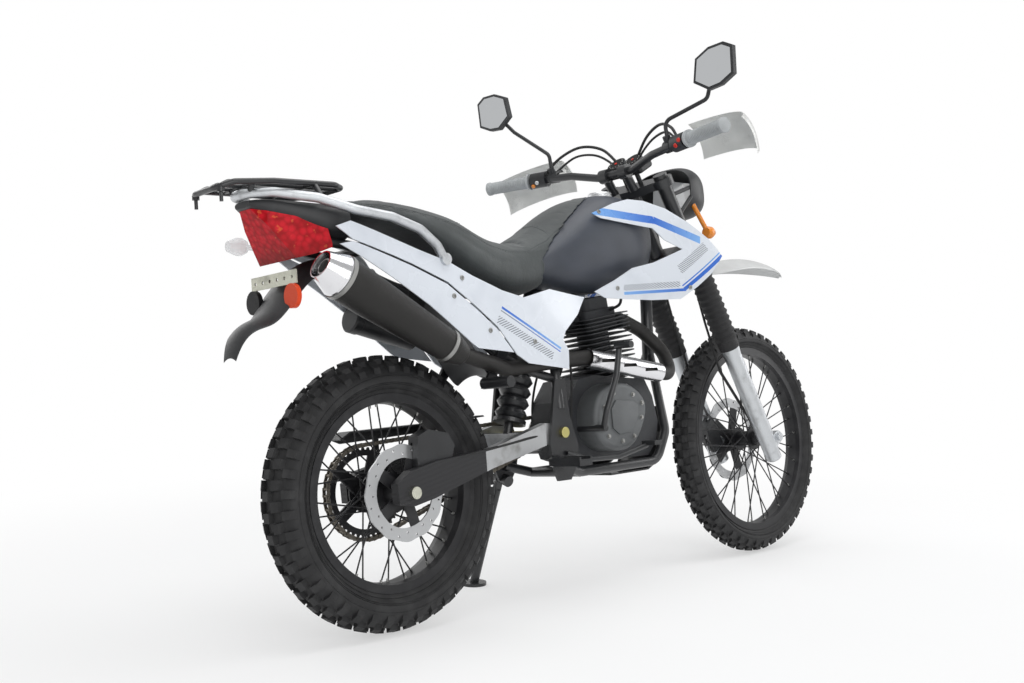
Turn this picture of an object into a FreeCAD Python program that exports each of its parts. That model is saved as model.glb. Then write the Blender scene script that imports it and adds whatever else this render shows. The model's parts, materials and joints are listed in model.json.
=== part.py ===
import FreeCAD, Part
import math
import os
from functools import lru_cache

# A dual sport motorcycle, parked on its side stand.
# It is modelled upright in its own frame: X forward from the rear axle, Y to the rider's left,
# Z up from the ground. place_parked() then leans it onto the stand and moves the origin to the
# middle of the ground that it covers. Lengths are millimetres, angles are degrees.

V = FreeCAD.Vector
ORIGIN = V(0, 0, 0)
ALONG_X = V(1, 0, 0)
ALONG_Y = V(0, 1, 0)
ALONG_Z = V(0, 0, 1)
RIGHT, LEFT = -1, 1
SIDES = (RIGHT, LEFT)

# Driving dimensions
wheelbase = 1400.0
lean_angle = 6.0
rake_angle = 27.5
steering_lock_angle = 40.0
front_tyre_radius = 345.0
front_tyre_width = 84.0
rear_tyre_radius = 322.0
rear_tyre_width = 120.0
front_rim_radius = 267.0
rear_rim_radius = 216.0
fork_spacing = 194.0
fork_offset = 35.0
axle_lead = 33.0
pivot_x = 485.0
pivot_z = 425.0
chain_line_y = 76.0
frame_half_width = 100.0
panel_wall = 3.5
overrun = 4.0
seat_gap = 0.3
running_gap = 0.1


# Shared helpers

def ring_wire(points):
    """A closed smooth curve through points."""
    curve = Part.BSplineCurve()
    curve.interpolate(Points=points, PeriodicFlag=True)
    return Part.Wire([curve.toShape()])


def polygon_face(points):
    return Part.Face(Part.makePolygon(points + [points[0]]))


def prism_y(points, y_low, y_high):
    """A side profile, given as (x, z) pairs, extruded from y_low to y_high."""
    face = polygon_face([V(x, y_low, z) for x, z in points])
    return face.extrude(V(0, y_high - y_low, 0))


def smooth_prism_y(points, y_low, y_high):
    """As prism_y, with a smooth closed curve through the points."""
    face = Part.Face(ring_wire([V(x, y_low, z) for x, z in points]))
    return face.extrude(V(0, y_high - y_low, 0))


def cylinder(start, end, radius):
    axis = end - start
    return Part.makeCylinder(radius, axis.Length, start, axis)


def tube(start, end, radius, bore):
    return cylinder(start, end, radius).cut(cylinder(start, end, bore))


def box_about(centre, length, width, height):
    half = V(length, width, height) * 0.5
    return Part.makeBox(length, width, height, centre - half)


def lathe_y(points):
    """A closed profile of (radius, y) pairs turned about the Y axis."""
    face = polygon_face([V(radius, y, 0) for radius, y in points])
    return face.revolve(ORIGIN, ALONG_Y, 360)


def lathe_z(points):
    """A closed profile of (radius, z) pairs turned about the Z axis."""
    face = polygon_face([V(radius, 0, z) for radius, z in points])
    return face.revolve(ORIGIN, ALONG_Z, 360)


def rounded_path(points, bend):
    """Straight runs through the points, joined by tangent arcs of the bend radius."""
    edges = []
    start = points[0]
    for before, corner, after in zip(points, points[1:], points[2:]):
        back = before - corner
        ahead = after - corner
        room = 0.48 * min(back.Length, ahead.Length)
        back.normalize()
        ahead.normalize()
        half = back.getAngle(ahead) / 2
        if half > math.radians(89.5):
            continue
        setback = min(bend / math.tan(half), room)
        radius = setback * math.tan(half)
        inward = back + ahead
        inward.normalize()
        middle = corner + inward * (radius / math.sin(half) - radius)
        first = corner + back * setback
        last = corner + ahead * setback
        edges.append(Part.LineSegment(start, first).toShape())
        edges.append(Part.Arc(first, middle, last).toShape())
        start = last
    edges.append(Part.LineSegment(start, points[-1]).toShape())
    return Part.Wire(edges)


def bent_tube(points, radius, bend):
    path = rounded_path(points, bend)
    heading = points[1] - points[0]
    profile = Part.Wire([Part.makeCircle(radius, points[0], heading)])
    return path.makePipeShell([profile], True, True)


def mirrored(shape):
    return shape.mirror(ORIGIN, ALONG_Y)


def both_sides(shape):
    """The shape and its mirror image across the middle of the motorcycle."""
    return Part.makeCompound([shape, mirrored(shape)])


def fused(shapes):
    whole = shapes[0].fuse(shapes[1:]) if len(shapes) > 1 else shapes[0]
    return whole.removeSplitter()


def oval_ring(centre, across, up, half_width, half_height, squareness, count=16):
    """A closed smooth curve between an ellipse (squareness 2) and a rounded rectangle."""
    points = []
    for i in range(count):
        turn = 2 * math.pi * i / count
        c, s = math.cos(turn), math.sin(turn)
        a = half_width * math.copysign(abs(c) ** (2 / squareness), c)
        b = half_height * math.copysign(abs(s) ** (2 / squareness), s)
        points.append(centre + across * a + up * b)
    return ring_wire(points)


def body_loft(stations, squareness):
    """A closed body through stations of (x, half width, lowest z, highest z)."""
    rings = []
    for x, half_width, low, high in stations:
        centre = V(x, 0, (low + high) / 2)
        rings.append(oval_ring(centre, ALONG_Y, ALONG_Z, half_width, (high - low) / 2, squareness))
    return Part.makeLoft(rings, True, False)


def sheet_solid(grid, push):
    """A smooth sheet through a grid of points, given a wall by pushing it along a vector."""
    across = grid[0][-1] - grid[0][0]
    along = grid[-1][0] - grid[0][0]
    if along.cross(across).dot(push) > 0:
        grid = grid[::-1]
    surface = Part.BSplineSurface()
    surface.interpolate(grid)
    return surface.toShape().extrude(push)


def skin_solid(xs, zs, widths, side, wall):
    """A curved sheet whose outer face stands at widths[i][j] for xs[i] and zs[j]."""
    grid = [[V(x, side * y, z) for z, y in zip(zs, row)] for x, row in zip(xs, widths)]
    return sheet_solid(grid, V(0, -side * wall, 0))


def scaled_outline(shares, x_low, z_low, length, height):
    return [(x_low + length * a, z_low + height * b) for a, b in shares]


# Steering frame: Z runs up the steering axis, X points forward from it, and height 0 is level with
# the front axle.
cos_rake = math.cos(math.radians(rake_angle))
sin_rake = math.sin(math.radians(rake_angle))
axle_offset = fork_offset + axle_lead
steering_base = V(wheelbase - axle_offset * cos_rake, 0, front_tyre_radius - axle_offset * sin_rake)
steering_placement = FreeCAD.Placement(steering_base, FreeCAD.Rotation(ALONG_Y, -rake_angle))


def on_steering(shape):
    placed = shape.copy()
    placed.Placement = steering_placement.multiply(placed.Placement)
    return placed


def steering_point(x, y, height):
    return steering_placement.multVec(V(x, y, height))


def off_steering(point):
    """Where a point of the motorcycle's frame lies in the steering frame."""
    return steering_placement.inverse().multVec(point)


# Wheels: axis along Y, centre at the origin

tyre_wall = 9.0
tread_depth = 16.0
hollow_roof_share = 0.35
knob_height = 8.0
knob_share = 0.62
front_knob_rows = 44
rear_knob_rows = 40
knob_columns = 4
bead_gap = 0.3
rim_flange_height = 14.0
rim_flange_wall = 4.0
rim_bed = 6.0
front_rim_width = 52.0
rear_rim_width = 74.0
shoulder_width_share = 0.94
shoulder_height_share = 0.3
belly_height_share = 0.62


def tyre_carcass(outer_radius, width, rim_radius, rim_width):
    """The tyre without its knobs, its crown knob_height under the tread."""
    half = width / 2
    inner_half = rim_width / 2 - rim_flange_wall - bead_gap
    seat = rim_radius + bead_gap - rim_bed / 2
    lip = rim_radius + rim_flange_height + rim_flange_wall / 2
    height = outer_radius - rim_radius
    shoulder = outer_radius - shoulder_height_share * height - knob_height
    belly = outer_radius - belly_height_share * height
    edge = shoulder_width_share * half
    crown = outer_radius - knob_height

    def at(radius, y):
        return V(radius, y, 0)

    outer = [
        Part.LineSegment(at(seat, inner_half), at(lip, inner_half)),
        Part.Arc(at(lip, inner_half), at(belly, half), at(shoulder, edge)),
        Part.Arc(at(shoulder, edge), at(crown, 0), at(shoulder, -edge)),
        Part.Arc(at(shoulder, -edge), at(belly, -half), at(lip, -inner_half)),
        Part.LineSegment(at(lip, -inner_half), at(seat, -inner_half)),
    ]
    hollow = inner_half - tyre_wall
    roof = outer_radius - tread_depth
    left = [(seat, hollow), (lip + tyre_wall, hollow), (belly, half - tyre_wall),
            (shoulder - tyre_wall / 2, edge - tyre_wall), (roof, hollow_roof_share * half)]
    right = [(radius, -y) for radius, y in left]
    inner = [at(seat, -inner_half)] + [at(*spot) for spot in right + left[::-1]] + [at(seat, inner_half)]
    edges = [piece.toShape() for piece in outer]
    edges += [Part.LineSegment(*pair).toShape() for pair in zip(inner, inner[1:])]
    return Part.Face(Part.Wire(edges)).revolve(ORIGIN, ALONG_Y, 360)


def knobs(outer_radius, width, rim_radius, rows):
    """Blocks of the tread in staggered rows, their tops on the tread's own radii."""
    sagitta = shoulder_height_share * (outer_radius - rim_radius)
    pitch = 2 * math.pi * outer_radius / rows
    lane = shoulder_width_share * width / knob_columns
    blocks = []
    for row in range(rows):
        for column in range(knob_columns):
            y = (column - (knob_columns - 1) / 2) * lane
            length, across = knob_share * pitch, knob_share * lane
            turn = (row + column % 2 / 2) * 360 / rows

            def top(at_y):
                share = at_y / (shoulder_width_share * width / 2)
                return outer_radius - sagitta * share * share

            near, far = y - across / 2, y + across / 2
            foot = 1.5 * knob_height
            face = polygon_face([V(top(near), near, 0), V(top(far), far, 0), V(top(far) - foot, far, 0),
                                 V(top(near) - foot, near, 0)])
            block = face.extrude(ALONG_Z * length)
            block.translate(ALONG_Z * -length / 2)
            block.rotate(ORIGIN, ALONG_Y, turn)
            blocks.append(block)
    return blocks


def tyre(outer_radius, width, rim_radius, rim_width, rows):
    carcass = tyre_carcass(outer_radius, width, rim_radius, rim_width)
    return fused([carcass] + knobs(outer_radius, width, rim_radius, rows))


def rim(rim_radius, rim_width):
    half = rim_width / 2
    flange = rim_radius + rim_flange_height
    seat = rim_radius - rim_bed / 2
    floor = seat - rim_bed
    inner = half - rim_flange_wall
    return lathe_y([
        (flange, -half), (flange, -inner), (seat, -inner), (seat, inner), (flange, inner),
        (flange, half), (floor + rim_bed / 2, half), (floor, half / 2),
        (floor, -half / 2), (floor + rim_bed / 2, -half),
    ])


spoke_count = 36
spoke_radius = 1.9
spoke_sweep_angle = 52.0
spoke_head_offset = 2.4


def spokes(flange_radius, flange_y, rim_radius, rim_y):
    """Crossed wire spokes: alternate ones go to alternate flanges and lean alternate ways."""
    wires = []
    outer = rim_radius - rim_bed
    for i in range(spoke_count):
        side = 1 if i % 2 else -1
        lean_way = 1 if (i // 2) % 2 else -1
        rim_turn = 2 * math.pi * i / spoke_count
        hub_turn = rim_turn + lean_way * math.radians(spoke_sweep_angle)
        hub_y = side * (flange_y + lean_way * spoke_head_offset)
        foot = V(flange_radius * math.cos(hub_turn), hub_y, flange_radius * math.sin(hub_turn))
        head = V(outer * math.cos(rim_turn), side * rim_y, outer * math.sin(rim_turn))
        wires.append(cylinder(foot, head, spoke_radius))
    return wires


def slotted_disc(outer_radius, inner_radius, thickness, y_middle, lobes):
    """A brake disc with a wavy rim and rows of slanting slots."""
    wave = 0.03 * outer_radius
    count = 8 * lobes
    points = []
    for i in range(count):
        turn = 2 * math.pi * i / count
        radius = outer_radius - wave * (1 - math.cos(lobes * turn)) / 2
        points.append((radius * math.cos(turn), radius * math.sin(turn)))
    low = y_middle - thickness / 2
    disc = prism_y(points, low, low + thickness)
    hole = cylinder(V(0, low - overrun, 0), V(0, low + thickness + overrun, 0), inner_radius)
    slot_radius = 0.025 * outer_radius
    band = outer_radius - inner_radius
    slots = [hole]
    for i in range(lobes):
        for step, reach in ((0, 0.3), (0.5, 0.62)):
            turn = 2 * math.pi * (i + step) / lobes
            radius = inner_radius + reach * band
            at = V(radius * math.cos(turn), 0, radius * math.sin(turn))
            slots.append(cylinder(at + V(0, low - overrun, 0), at + V(0, low + thickness + overrun, 0),
                                  slot_radius))
    return disc.cut(slots)


def carrier(outer_radius, hub_radius, thickness, y_middle, arms):
    """Arms that join a disc or sprocket to its hub."""
    low = y_middle - thickness / 2
    width = 0.32 * outer_radius
    pieces = [cylinder(V(0, low, 0), V(0, low + thickness, 0), hub_radius)]
    for i in range(arms):
        arm = Part.makeBox(outer_radius, thickness, width, V(0, low, -width / 2))
        arm.rotate(ORIGIN, ALONG_Y, 360 * i / arms)
        pieces.append(arm)
    return pieces


# Front wheel
front_hub_radius = 23.0
front_flange_radius = 36.0
front_flange_y = 27.0
front_hub_half = 46.0
hub_flange_wall = 5.0
front_spoke_rim_y = 7.0
front_axle_radius = 7.5
front_disc_radius = 130.0
front_disc_band = 30.0
front_disc_y = 58.0
disc_thickness = 4.0
front_disc_lobes = 12
disc_arms = 5


def flanged_hub(radius, flange_radius, flange_y, half_length, bore):
    inner = flange_y - hub_flange_wall / 2
    outer = flange_y + hub_flange_wall / 2
    return lathe_y([
        (bore, -half_length), (radius, -half_length), (radius, -outer), (flange_radius, -outer),
        (flange_radius, -inner), (radius, -inner), (radius, inner), (flange_radius, inner),
        (flange_radius, outer), (radius, outer), (radius, half_length), (bore, half_length),
    ])


def front_wheel():
    bore = front_axle_radius + running_gap
    hub = flanged_hub(front_hub_radius, front_flange_radius, front_flange_y, front_hub_half, bore)
    disc_inner = front_disc_radius - front_disc_band
    disc = slotted_disc(front_disc_radius, disc_inner, disc_thickness, front_disc_y, front_disc_lobes)
    boss = tube(V(0, front_hub_half - overrun, 0), V(0, front_disc_y + disc_thickness / 2, 0),
                front_hub_radius, bore)
    arms = carrier(disc_inner + overrun, front_hub_radius, disc_thickness, front_disc_y, disc_arms)
    shaft = cylinder(V(0, -front_disc_y * 2, 0), V(0, front_disc_y * 2, 0), bore)
    pieces = [rim(front_rim_radius, front_rim_width), hub, boss, disc] + arms
    pieces += spokes(front_flange_radius - hub_flange_wall / 2, front_flange_y, front_rim_radius,
                     front_spoke_rim_y)
    wheel = fused(pieces).cut(shaft)
    wheel.translate(V(wheelbase, 0, front_tyre_radius))
    return wheel


def front_tyre():
    shape = tyre(front_tyre_radius, front_tyre_width, front_rim_radius, front_rim_width, front_knob_rows)
    shape.translate(V(wheelbase, 0, front_tyre_radius))
    return shape


# Rear wheel
rear_hub_radius = 30.0
rear_flange_radius = 48.0
rear_flange_y = 30.0
rear_hub_half = 62.0
rear_spoke_rim_y = 9.0
rear_axle_radius = 8.5
rear_disc_radius = 112.0
rear_disc_band = 32.0
rear_disc_lobes = 12
sprocket_teeth = 44
sprocket_tip_radius = 107.0
sprocket_tooth_height = 6.0
sprocket_thickness = 5.0
sprocket_band = 14.0


def sprocket():
    points = []
    for i in range(sprocket_teeth):
        for step, drop in ((-0.3, 1), (-0.1, 0), (0.1, 0), (0.3, 1)):
            turn = 2 * math.pi * (i + step) / sprocket_teeth
            radius = sprocket_tip_radius - drop * sprocket_tooth_height
            points.append((radius * math.cos(turn), radius * math.sin(turn)))
    low = chain_line_y - sprocket_thickness / 2
    disc = prism_y(points, low, low + sprocket_thickness)
    inner = sprocket_tip_radius - sprocket_tooth_height - sprocket_band
    hole = cylinder(V(0, low - overrun, 0), V(0, low + sprocket_thickness + overrun, 0), inner)
    arms = carrier(inner + overrun, rear_flange_radius, sprocket_thickness, chain_line_y, disc_arms)
    return [disc.cut(hole)] + arms


def rear_wheel():
    bore = rear_axle_radius + running_gap
    hub = flanged_hub(rear_hub_radius, rear_flange_radius, rear_flange_y, rear_hub_half, bore)
    disc_inner = rear_disc_radius - rear_disc_band
    disc = slotted_disc(rear_disc_radius, disc_inner, disc_thickness, -chain_line_y, rear_disc_lobes)
    arms = carrier(disc_inner + overrun, rear_hub_radius, disc_thickness, -chain_line_y, disc_arms)
    bosses = [
        cylinder(V(0, side * rear_flange_y, 0), V(0, side * chain_line_y, 0), rear_hub_radius)
        for side in SIDES
    ]
    shaft = cylinder(V(0, -2 * chain_line_y, 0), V(0, 2 * chain_line_y, 0), bore)
    pieces = [rim(rear_rim_radius, rear_rim_width), hub, disc] + arms + bosses + sprocket()
    pieces += spokes(rear_flange_radius - hub_flange_wall / 2, rear_flange_y, rear_rim_radius,
                     rear_spoke_rim_y)
    wheel = fused(pieces).cut(shaft)
    wheel.translate(V(0, 0, rear_tyre_radius))
    return wheel


def rear_tyre():
    shape = tyre(rear_tyre_radius, rear_tyre_width, rear_rim_radius, rear_rim_width, rear_knob_rows)
    shape.translate(V(0, 0, rear_tyre_radius))
    return shape


# Fork: yokes with the two upper tubes and the steering stem
fork_tube_radius = 20.5
slider_radius = 28.0
slider_top = 341.0
slider_bottom = -58.0
fork_tube_bottom = 300.0
lower_yoke_low = 636.0
lower_yoke_height = 28.0
upper_yoke_low = 856.0
upper_yoke_height = 24.0
fork_tube_top = 892.0
stem_radius = 15.0
head_gap = 2.0
yoke_rim = 11.0
yoke_web = 46.0


def yoke(low, height):
    half = fork_spacing / 2
    clamp = fork_tube_radius + yoke_rim
    pieces = [cylinder(V(0, 0, low), V(0, 0, low + height), stem_radius + yoke_rim)]
    for side in SIDES:
        pieces.append(cylinder(V(fork_offset, side * half, low), V(fork_offset, side * half, low + height),
                               clamp))
    web = polygon_face([
        V(fork_offset + yoke_web / 2, -half, low), V(fork_offset + yoke_web / 2, half, low),
        V(fork_offset - yoke_web / 2, half, low), V(-stem_radius - yoke_rim, stem_radius, low),
        V(-stem_radius - yoke_rim, -stem_radius, low), V(fork_offset - yoke_web / 2, -half, low),
    ])
    pieces.append(web.extrude(V(0, 0, height)))
    return pieces


@lru_cache(maxsize=None)
def fork_yokes():
    half = fork_spacing / 2
    pieces = yoke(lower_yoke_low, lower_yoke_height) + yoke(upper_yoke_low, upper_yoke_height)
    pieces.append(cylinder(V(0, 0, lower_yoke_low), V(0, 0, upper_yoke_low + upper_yoke_height), stem_radius))
    for side in SIDES:
        pieces.append(cylinder(V(fork_offset, side * half, fork_tube_bottom),
                               V(fork_offset, side * half, fork_tube_top), fork_tube_radius))
    return on_steering(fused(pieces))


slider_neck = 40.0
slider_foot_radius = 24.0
axle_lug_radius = 19.0
axle_lug_half = 21.0
axle_head_radius = 12.0
axle_overhang = 8.0
front_spacer_radius = 14.0


@lru_cache(maxsize=None)
def fork_sliders():
    """Both lower legs, joined by the front axle that they carry."""
    half = fork_spacing / 2
    pieces = []
    for side in SIDES:
        leg = lathe_z([
            (0, slider_bottom), (slider_foot_radius - overrun, slider_bottom),
            (slider_foot_radius, slider_bottom + overrun), (slider_foot_radius, 0),
            (slider_radius - overrun / 2, slider_neck), (slider_radius - overrun / 2, slider_top - slider_neck),
            (slider_radius, slider_top - slider_neck / 2), (slider_radius, slider_top), (0, slider_top),
        ])
        bore = cylinder(ORIGIN + V(0, 0, fork_tube_bottom - seat_gap), V(0, 0, slider_top + overrun),
                        fork_tube_radius + running_gap)
        leg = leg.cut(bore)
        leg.translate(V(fork_offset, side * half, 0))
        lug = cylinder(V(axle_offset, side * (half - axle_lug_half), 0),
                       V(axle_offset, side * (half + axle_lug_half), 0), axle_lug_radius)
        web = box_about(V(fork_offset + axle_lead / 2, side * half, 0), axle_lead, 2 * axle_lug_half,
                        2 * axle_lug_radius)
        head = cylinder(V(axle_offset, side * half, 0),
                        V(axle_offset, side * (half + axle_lug_half + axle_overhang), 0), axle_head_radius)
        pieces += [leg, lug, web, head]
    pieces.append(cylinder(V(axle_offset, -half, 0), V(axle_offset, half, 0), front_axle_radius))
    for side, hub_face in ((RIGHT, front_hub_half), (LEFT, front_disc_y + disc_thickness / 2)):
        pieces.append(cylinder(V(axle_offset, side * half, 0), V(axle_offset, side * (hub_face + seat_gap), 0),
                               front_spacer_radius))
    return on_steering(fused(pieces))


gaiter_radius = 35.0
gaiter_groove = 5.0
gaiter_folds = 14
gaiter_collar = 12.0


def fork_gaiters():
    """Ribbed rubber boots over the upper tubes, one on each leg."""
    bottom = slider_top - gaiter_collar
    top = lower_yoke_low - head_gap
    first = bottom + gaiter_collar * 2
    pitch = (top - first) / gaiter_folds
    outline = [(slider_radius + running_gap, bottom), (gaiter_radius - gaiter_groove, bottom)]
    for i in range(gaiter_folds):
        outline.append((gaiter_radius - gaiter_groove, first + pitch * i))
        outline.append((gaiter_radius, first + pitch * (i + 0.5)))
    outline += [
        (gaiter_radius - gaiter_groove, top), (fork_tube_radius + seat_gap, top),
        (fork_tube_radius + seat_gap, slider_top + seat_gap), (slider_radius + running_gap, slider_top + seat_gap),
    ]
    boot = lathe_z(outline)
    boot.translate(V(fork_offset, fork_spacing / 2, 0))
    return on_steering(both_sides(boot))


# Front mudguard, carried high under the lower yoke
mudguard_length = 640.0
mudguard_rear_x = 1040.0
mudguard_base_z = 800.0
mudguard_height = 110.0
mudguard_half_width = 66.0
mudguard_wall = 4.0
mudguard_side_drop = 34.0
mudguard_station_shares = (
    (0.0, 0.42, 0.42), (0.2, 0.64, 0.72), (0.42, 0.86, 1.0), (0.64, 0.98, 0.98),
    (0.84, 0.86, 0.68), (0.96, 0.66, 0.3), (1.0, 0.54, 0.1),
)
mudguard_mount_radius = 13.0


def arched_sheet(stations, wall, drop):
    """A sheet through stations of (x, crown z, half width), its edges turned down by drop."""
    count = 7
    outer = []
    for x, crown, half in stations:
        row = []
        for i in range(count):
            across = 2 * i / (count - 1) - 1
            fall = drop * across * across * half / mudguard_half_width
            row.append(V(x, half * across, crown - fall))
        outer.append(row)
    return sheet_solid(outer, V(0, 0, -wall))


def front_mudguard():
    stations = [
        (mudguard_rear_x + mudguard_length * a, mudguard_base_z + mudguard_height * b,
         mudguard_half_width * c) for a, b, c in mudguard_station_shares
    ]
    sheet = arched_sheet(stations, mudguard_wall, mudguard_side_drop)
    mounts = []
    for side in SIDES:
        top = steering_point(fork_offset, side * mudguard_half_width / 2, lower_yoke_low)
        bottom = V(top.x + slider_neck / 2, top.y, mudguard_base_z + mudguard_height / 2)
        mounts.append(cylinder(top, bottom, mudguard_mount_radius))
    return fused([sheet] + mounts).cut(fork_yokes())


# Main frame: a backbone, a down tube that splits into a cradle, and a plate at each side for the
# swingarm pivot. Routes are (x, y, z) on the left side.
head_tube_radius = 27.0
backbone_radius = 24.0
down_tube_radius = 17.0
cradle_radius = 12.5
pivot_plate_wall = 8.0
pivot_plate_y = 108.0
pivot_bolt_radius = 8.0
frame_bend = 60.0
stand_pivot = V(480, 132, 314)
stand_foot = V(452, 236, 0)
stand_folded_direction = V(-0.985, 0.12, -0.1)
stand_eye_half = 7.0
stand_eye_radius = 18.0
stand_stud_radius = 6.0
stand_head_radius = 11.0
stand_head_height = 5.0
stand_lug_length = 34.0
stand_lug_radius = 15.0
backbone_route = ((960, 0, 985), (700, 0, 905), (545, 0, 830), (505, 0, 750))
down_tube_route = ((985, 0, 963), (964, 0, 590))
cradle_route = ((966, 5, 620), (938, 48, 505), (922, 80, 400), (866, 90, 322), (560, 90, 318), (476, 106, 342))
seat_tube_route = ((508, 12, 775), (500, 72, 700), (488, 98, 580), (484, 110, 485))
pivot_plate_outline = (
    (448, 326), (458, 304), (502, 304), (520, 330), (536, 388), (512, 468), (503, 560), (468, 560), (452, 478), (436, 396),
)


def side_route(route, side):
    return [V(x, side * y, z) for x, y, z in route]


def y_span(side, near, far):
    """Lowest and highest y of something from near to far on one side."""
    return sorted((side * near, side * far))


def crown_radius(outer_radius, width, rim_radius):
    """Radius of a tyre's tread across its width."""
    sagitta = shoulder_height_share * (outer_radius - rim_radius)
    half_chord = shoulder_width_share * width / 2
    return (half_chord ** 2 + sagitta ** 2) / (2 * sagitta)


def ground_height(x, y):
    """Height, in the upright frame, of the ground under a point when the motorcycle leans."""
    lean = math.radians(lean_angle)
    rear = crown_radius(rear_tyre_radius, rear_tyre_width, rear_rim_radius)
    front = crown_radius(front_tyre_radius, front_tyre_width, front_rim_radius)
    crown = rear + (front - rear) * x / wheelbase
    return y * math.tan(lean) - crown * (1 - math.cos(lean)) / math.cos(lean)


def stand_foot_point():
    return V(stand_foot.x, stand_foot.y, ground_height(stand_foot.x, stand_foot.y))


def stand_axis():
    """The stand swings about the normal of its lowered and its folded direction."""
    lowered = stand_foot_point() - stand_pivot
    axis = lowered.cross(stand_folded_direction)
    axis.normalize()
    return axis


@lru_cache(maxsize=None)
def main_frame():
    low = steering_point(0, 0, lower_yoke_low + lower_yoke_height + head_gap)
    high = steering_point(0, 0, upper_yoke_low - head_gap)
    pieces = [
        cylinder(low, high, head_tube_radius),
        bent_tube(side_route(backbone_route, LEFT), backbone_radius, frame_bend),
        bent_tube(side_route(down_tube_route, LEFT), down_tube_radius, frame_bend),
    ]
    for side in SIDES:
        pieces.append(bent_tube(side_route(cradle_route, side), cradle_radius, frame_bend))
        pieces.append(bent_tube(side_route(seat_tube_route, side), cradle_radius, frame_bend))
        near, far = y_span(side, pivot_plate_y, pivot_plate_y + pivot_plate_wall)
        pieces.append(prism_y(pivot_plate_outline, near, far))
    for route in (seat_tube_route[1], cradle_route[4]):
        left, right = side_route([route], LEFT)[0], side_route([route], RIGHT)[0]
        pieces.append(cylinder(left, right, cradle_radius))
    stem = cylinder(steering_point(0, 0, lower_yoke_low), steering_point(0, 0, fork_tube_top),
                    stem_radius + running_gap)
    pivot = cylinder(V(pivot_x, -2 * pivot_plate_y, pivot_z), V(pivot_x, 2 * pivot_plate_y, pivot_z),
                     pivot_bolt_radius + running_gap)
    axis = stand_axis()
    inner, outer = stand_pivot - axis * (stand_eye_half + seat_gap), stand_pivot + axis * (stand_eye_half + seat_gap)
    pieces.append(cylinder(inner - axis * stand_lug_length, inner, stand_lug_radius))
    pieces.append(cylinder(inner, outer, stand_stud_radius))
    pieces.append(cylinder(outer, outer + axis * stand_head_height, stand_head_radius))
    return fused(pieces).cut([stem, pivot])


# Rear subframe under the seat
subframe_radius = 11.0
subframe_rail_route = ((512, 62, 742), (340, 84, 728), (120, 88, 822), (-60, 84, 880), (-230, 60, 905))
subframe_stay_route = ((486, 95, 562), (420, 84, 582), (300, 84, 632), (100, 84, 779), (20, 84, 854))


@lru_cache(maxsize=None)
def subframe():
    pieces = []
    for side in SIDES:
        pieces.append(bent_tube(side_route(subframe_rail_route, side), subframe_radius, frame_bend))
        pieces.append(bent_tube(side_route(subframe_stay_route, side), subframe_radius, frame_bend))
    for x, y, z in (subframe_rail_route[1], subframe_rail_route[3], subframe_rail_route[4]):
        pieces.append(cylinder(V(x, -y, z), V(x, y, z), subframe_radius))
    return fused(pieces).cut(main_frame())


# Swingarm, its axle and the chain
arm_inner_y = 88.0
arm_outer_y = 114.0
arm_boss_radius = 22.0
arm_outline = (
    (-44, 300), (-46, 346), (-8, 372), (70, 388), (235, 402), (430, 452), (485, 447), (507, 425),
    (485, 403), (432, 398), (243, 356), (60, 304), (0, 292),
)
arm_bridge = (392.0, 430.0, 384.0, 432.0)
axle_slot_half = 14.0
axle_head_side_radius = 14.0


@lru_cache(maxsize=None)
def swingarm():
    pieces = []
    for side in SIDES:
        near, far = y_span(side, arm_inner_y, arm_outer_y - running_gap)
        pieces.append(prism_y(arm_outline, near, far - seat_gap if side > 0 else far))
    x_low, x_high, z_low, z_high = arm_bridge
    bridge = [(x_low, z_low), (x_high, z_low), (x_high, z_high), (x_low, z_high)]
    pieces.append(prism_y(bridge, -arm_inner_y, arm_inner_y))
    pivot_front = tube(V(pivot_x, -arm_inner_y, pivot_z), V(pivot_x, arm_inner_y, pivot_z),
                       arm_boss_radius, pivot_bolt_radius + running_gap)
    arm = fused(pieces)
    clearance = pivot_plate_y - seat_gap
    trim = [Part.makeBox(200, 200, 300, V(pivot_x - 60, clearance, pivot_z - 150)),
            Part.makeBox(200, 200, 300, V(pivot_x - 60, -clearance - 200, pivot_z - 150))]
    bore = cylinder(V(pivot_x, -arm_outer_y, pivot_z), V(pivot_x, arm_outer_y, pivot_z),
                    pivot_bolt_radius + running_gap)
    axle_bore = cylinder(V(0, -2 * arm_outer_y, rear_tyre_radius), V(0, 2 * arm_outer_y, rear_tyre_radius),
                         rear_axle_radius + running_gap)
    return arm.cut(trim + [bore, axle_bore])


def pivot_bolt():
    """The swingarm's pivot bolt, with a head and a nut outside the frame plates."""
    outer = pivot_plate_y + pivot_plate_wall
    pieces = [cylinder(V(pivot_x, -outer, pivot_z), V(pivot_x, outer, pivot_z), pivot_bolt_radius)]
    for side in SIDES:
        pieces.append(cylinder(V(pivot_x, side * outer, pivot_z),
                               V(pivot_x, side * (outer + axle_overhang), pivot_z), 1.7 * pivot_bolt_radius))
    return fused(pieces)


def rear_axle():
    reach = arm_outer_y
    centre = V(0, 0, rear_tyre_radius)
    pieces = [cylinder(centre - ALONG_Y * reach, centre + ALONG_Y * reach, rear_axle_radius)]
    for side in SIDES:
        face = side * reach
        pieces.append(cylinder(centre + V(0, face, 0), centre + V(0, face + side * axle_overhang, 0),
                               axle_head_side_radius))
        hub_face = chain_line_y + sprocket_thickness / 2 + seat_gap
        pieces.append(cylinder(centre + V(0, side * hub_face, 0), centre + V(0, side * arm_inner_y, 0),
                               axle_head_side_radius))
    return fused(pieces)


chain_width = 17.0
chain_height = 13.0
chain_clearance = 0.6
front_sprocket_x = 578.0
front_sprocket_z = 430.0
front_sprocket_radius = 31.0


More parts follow.
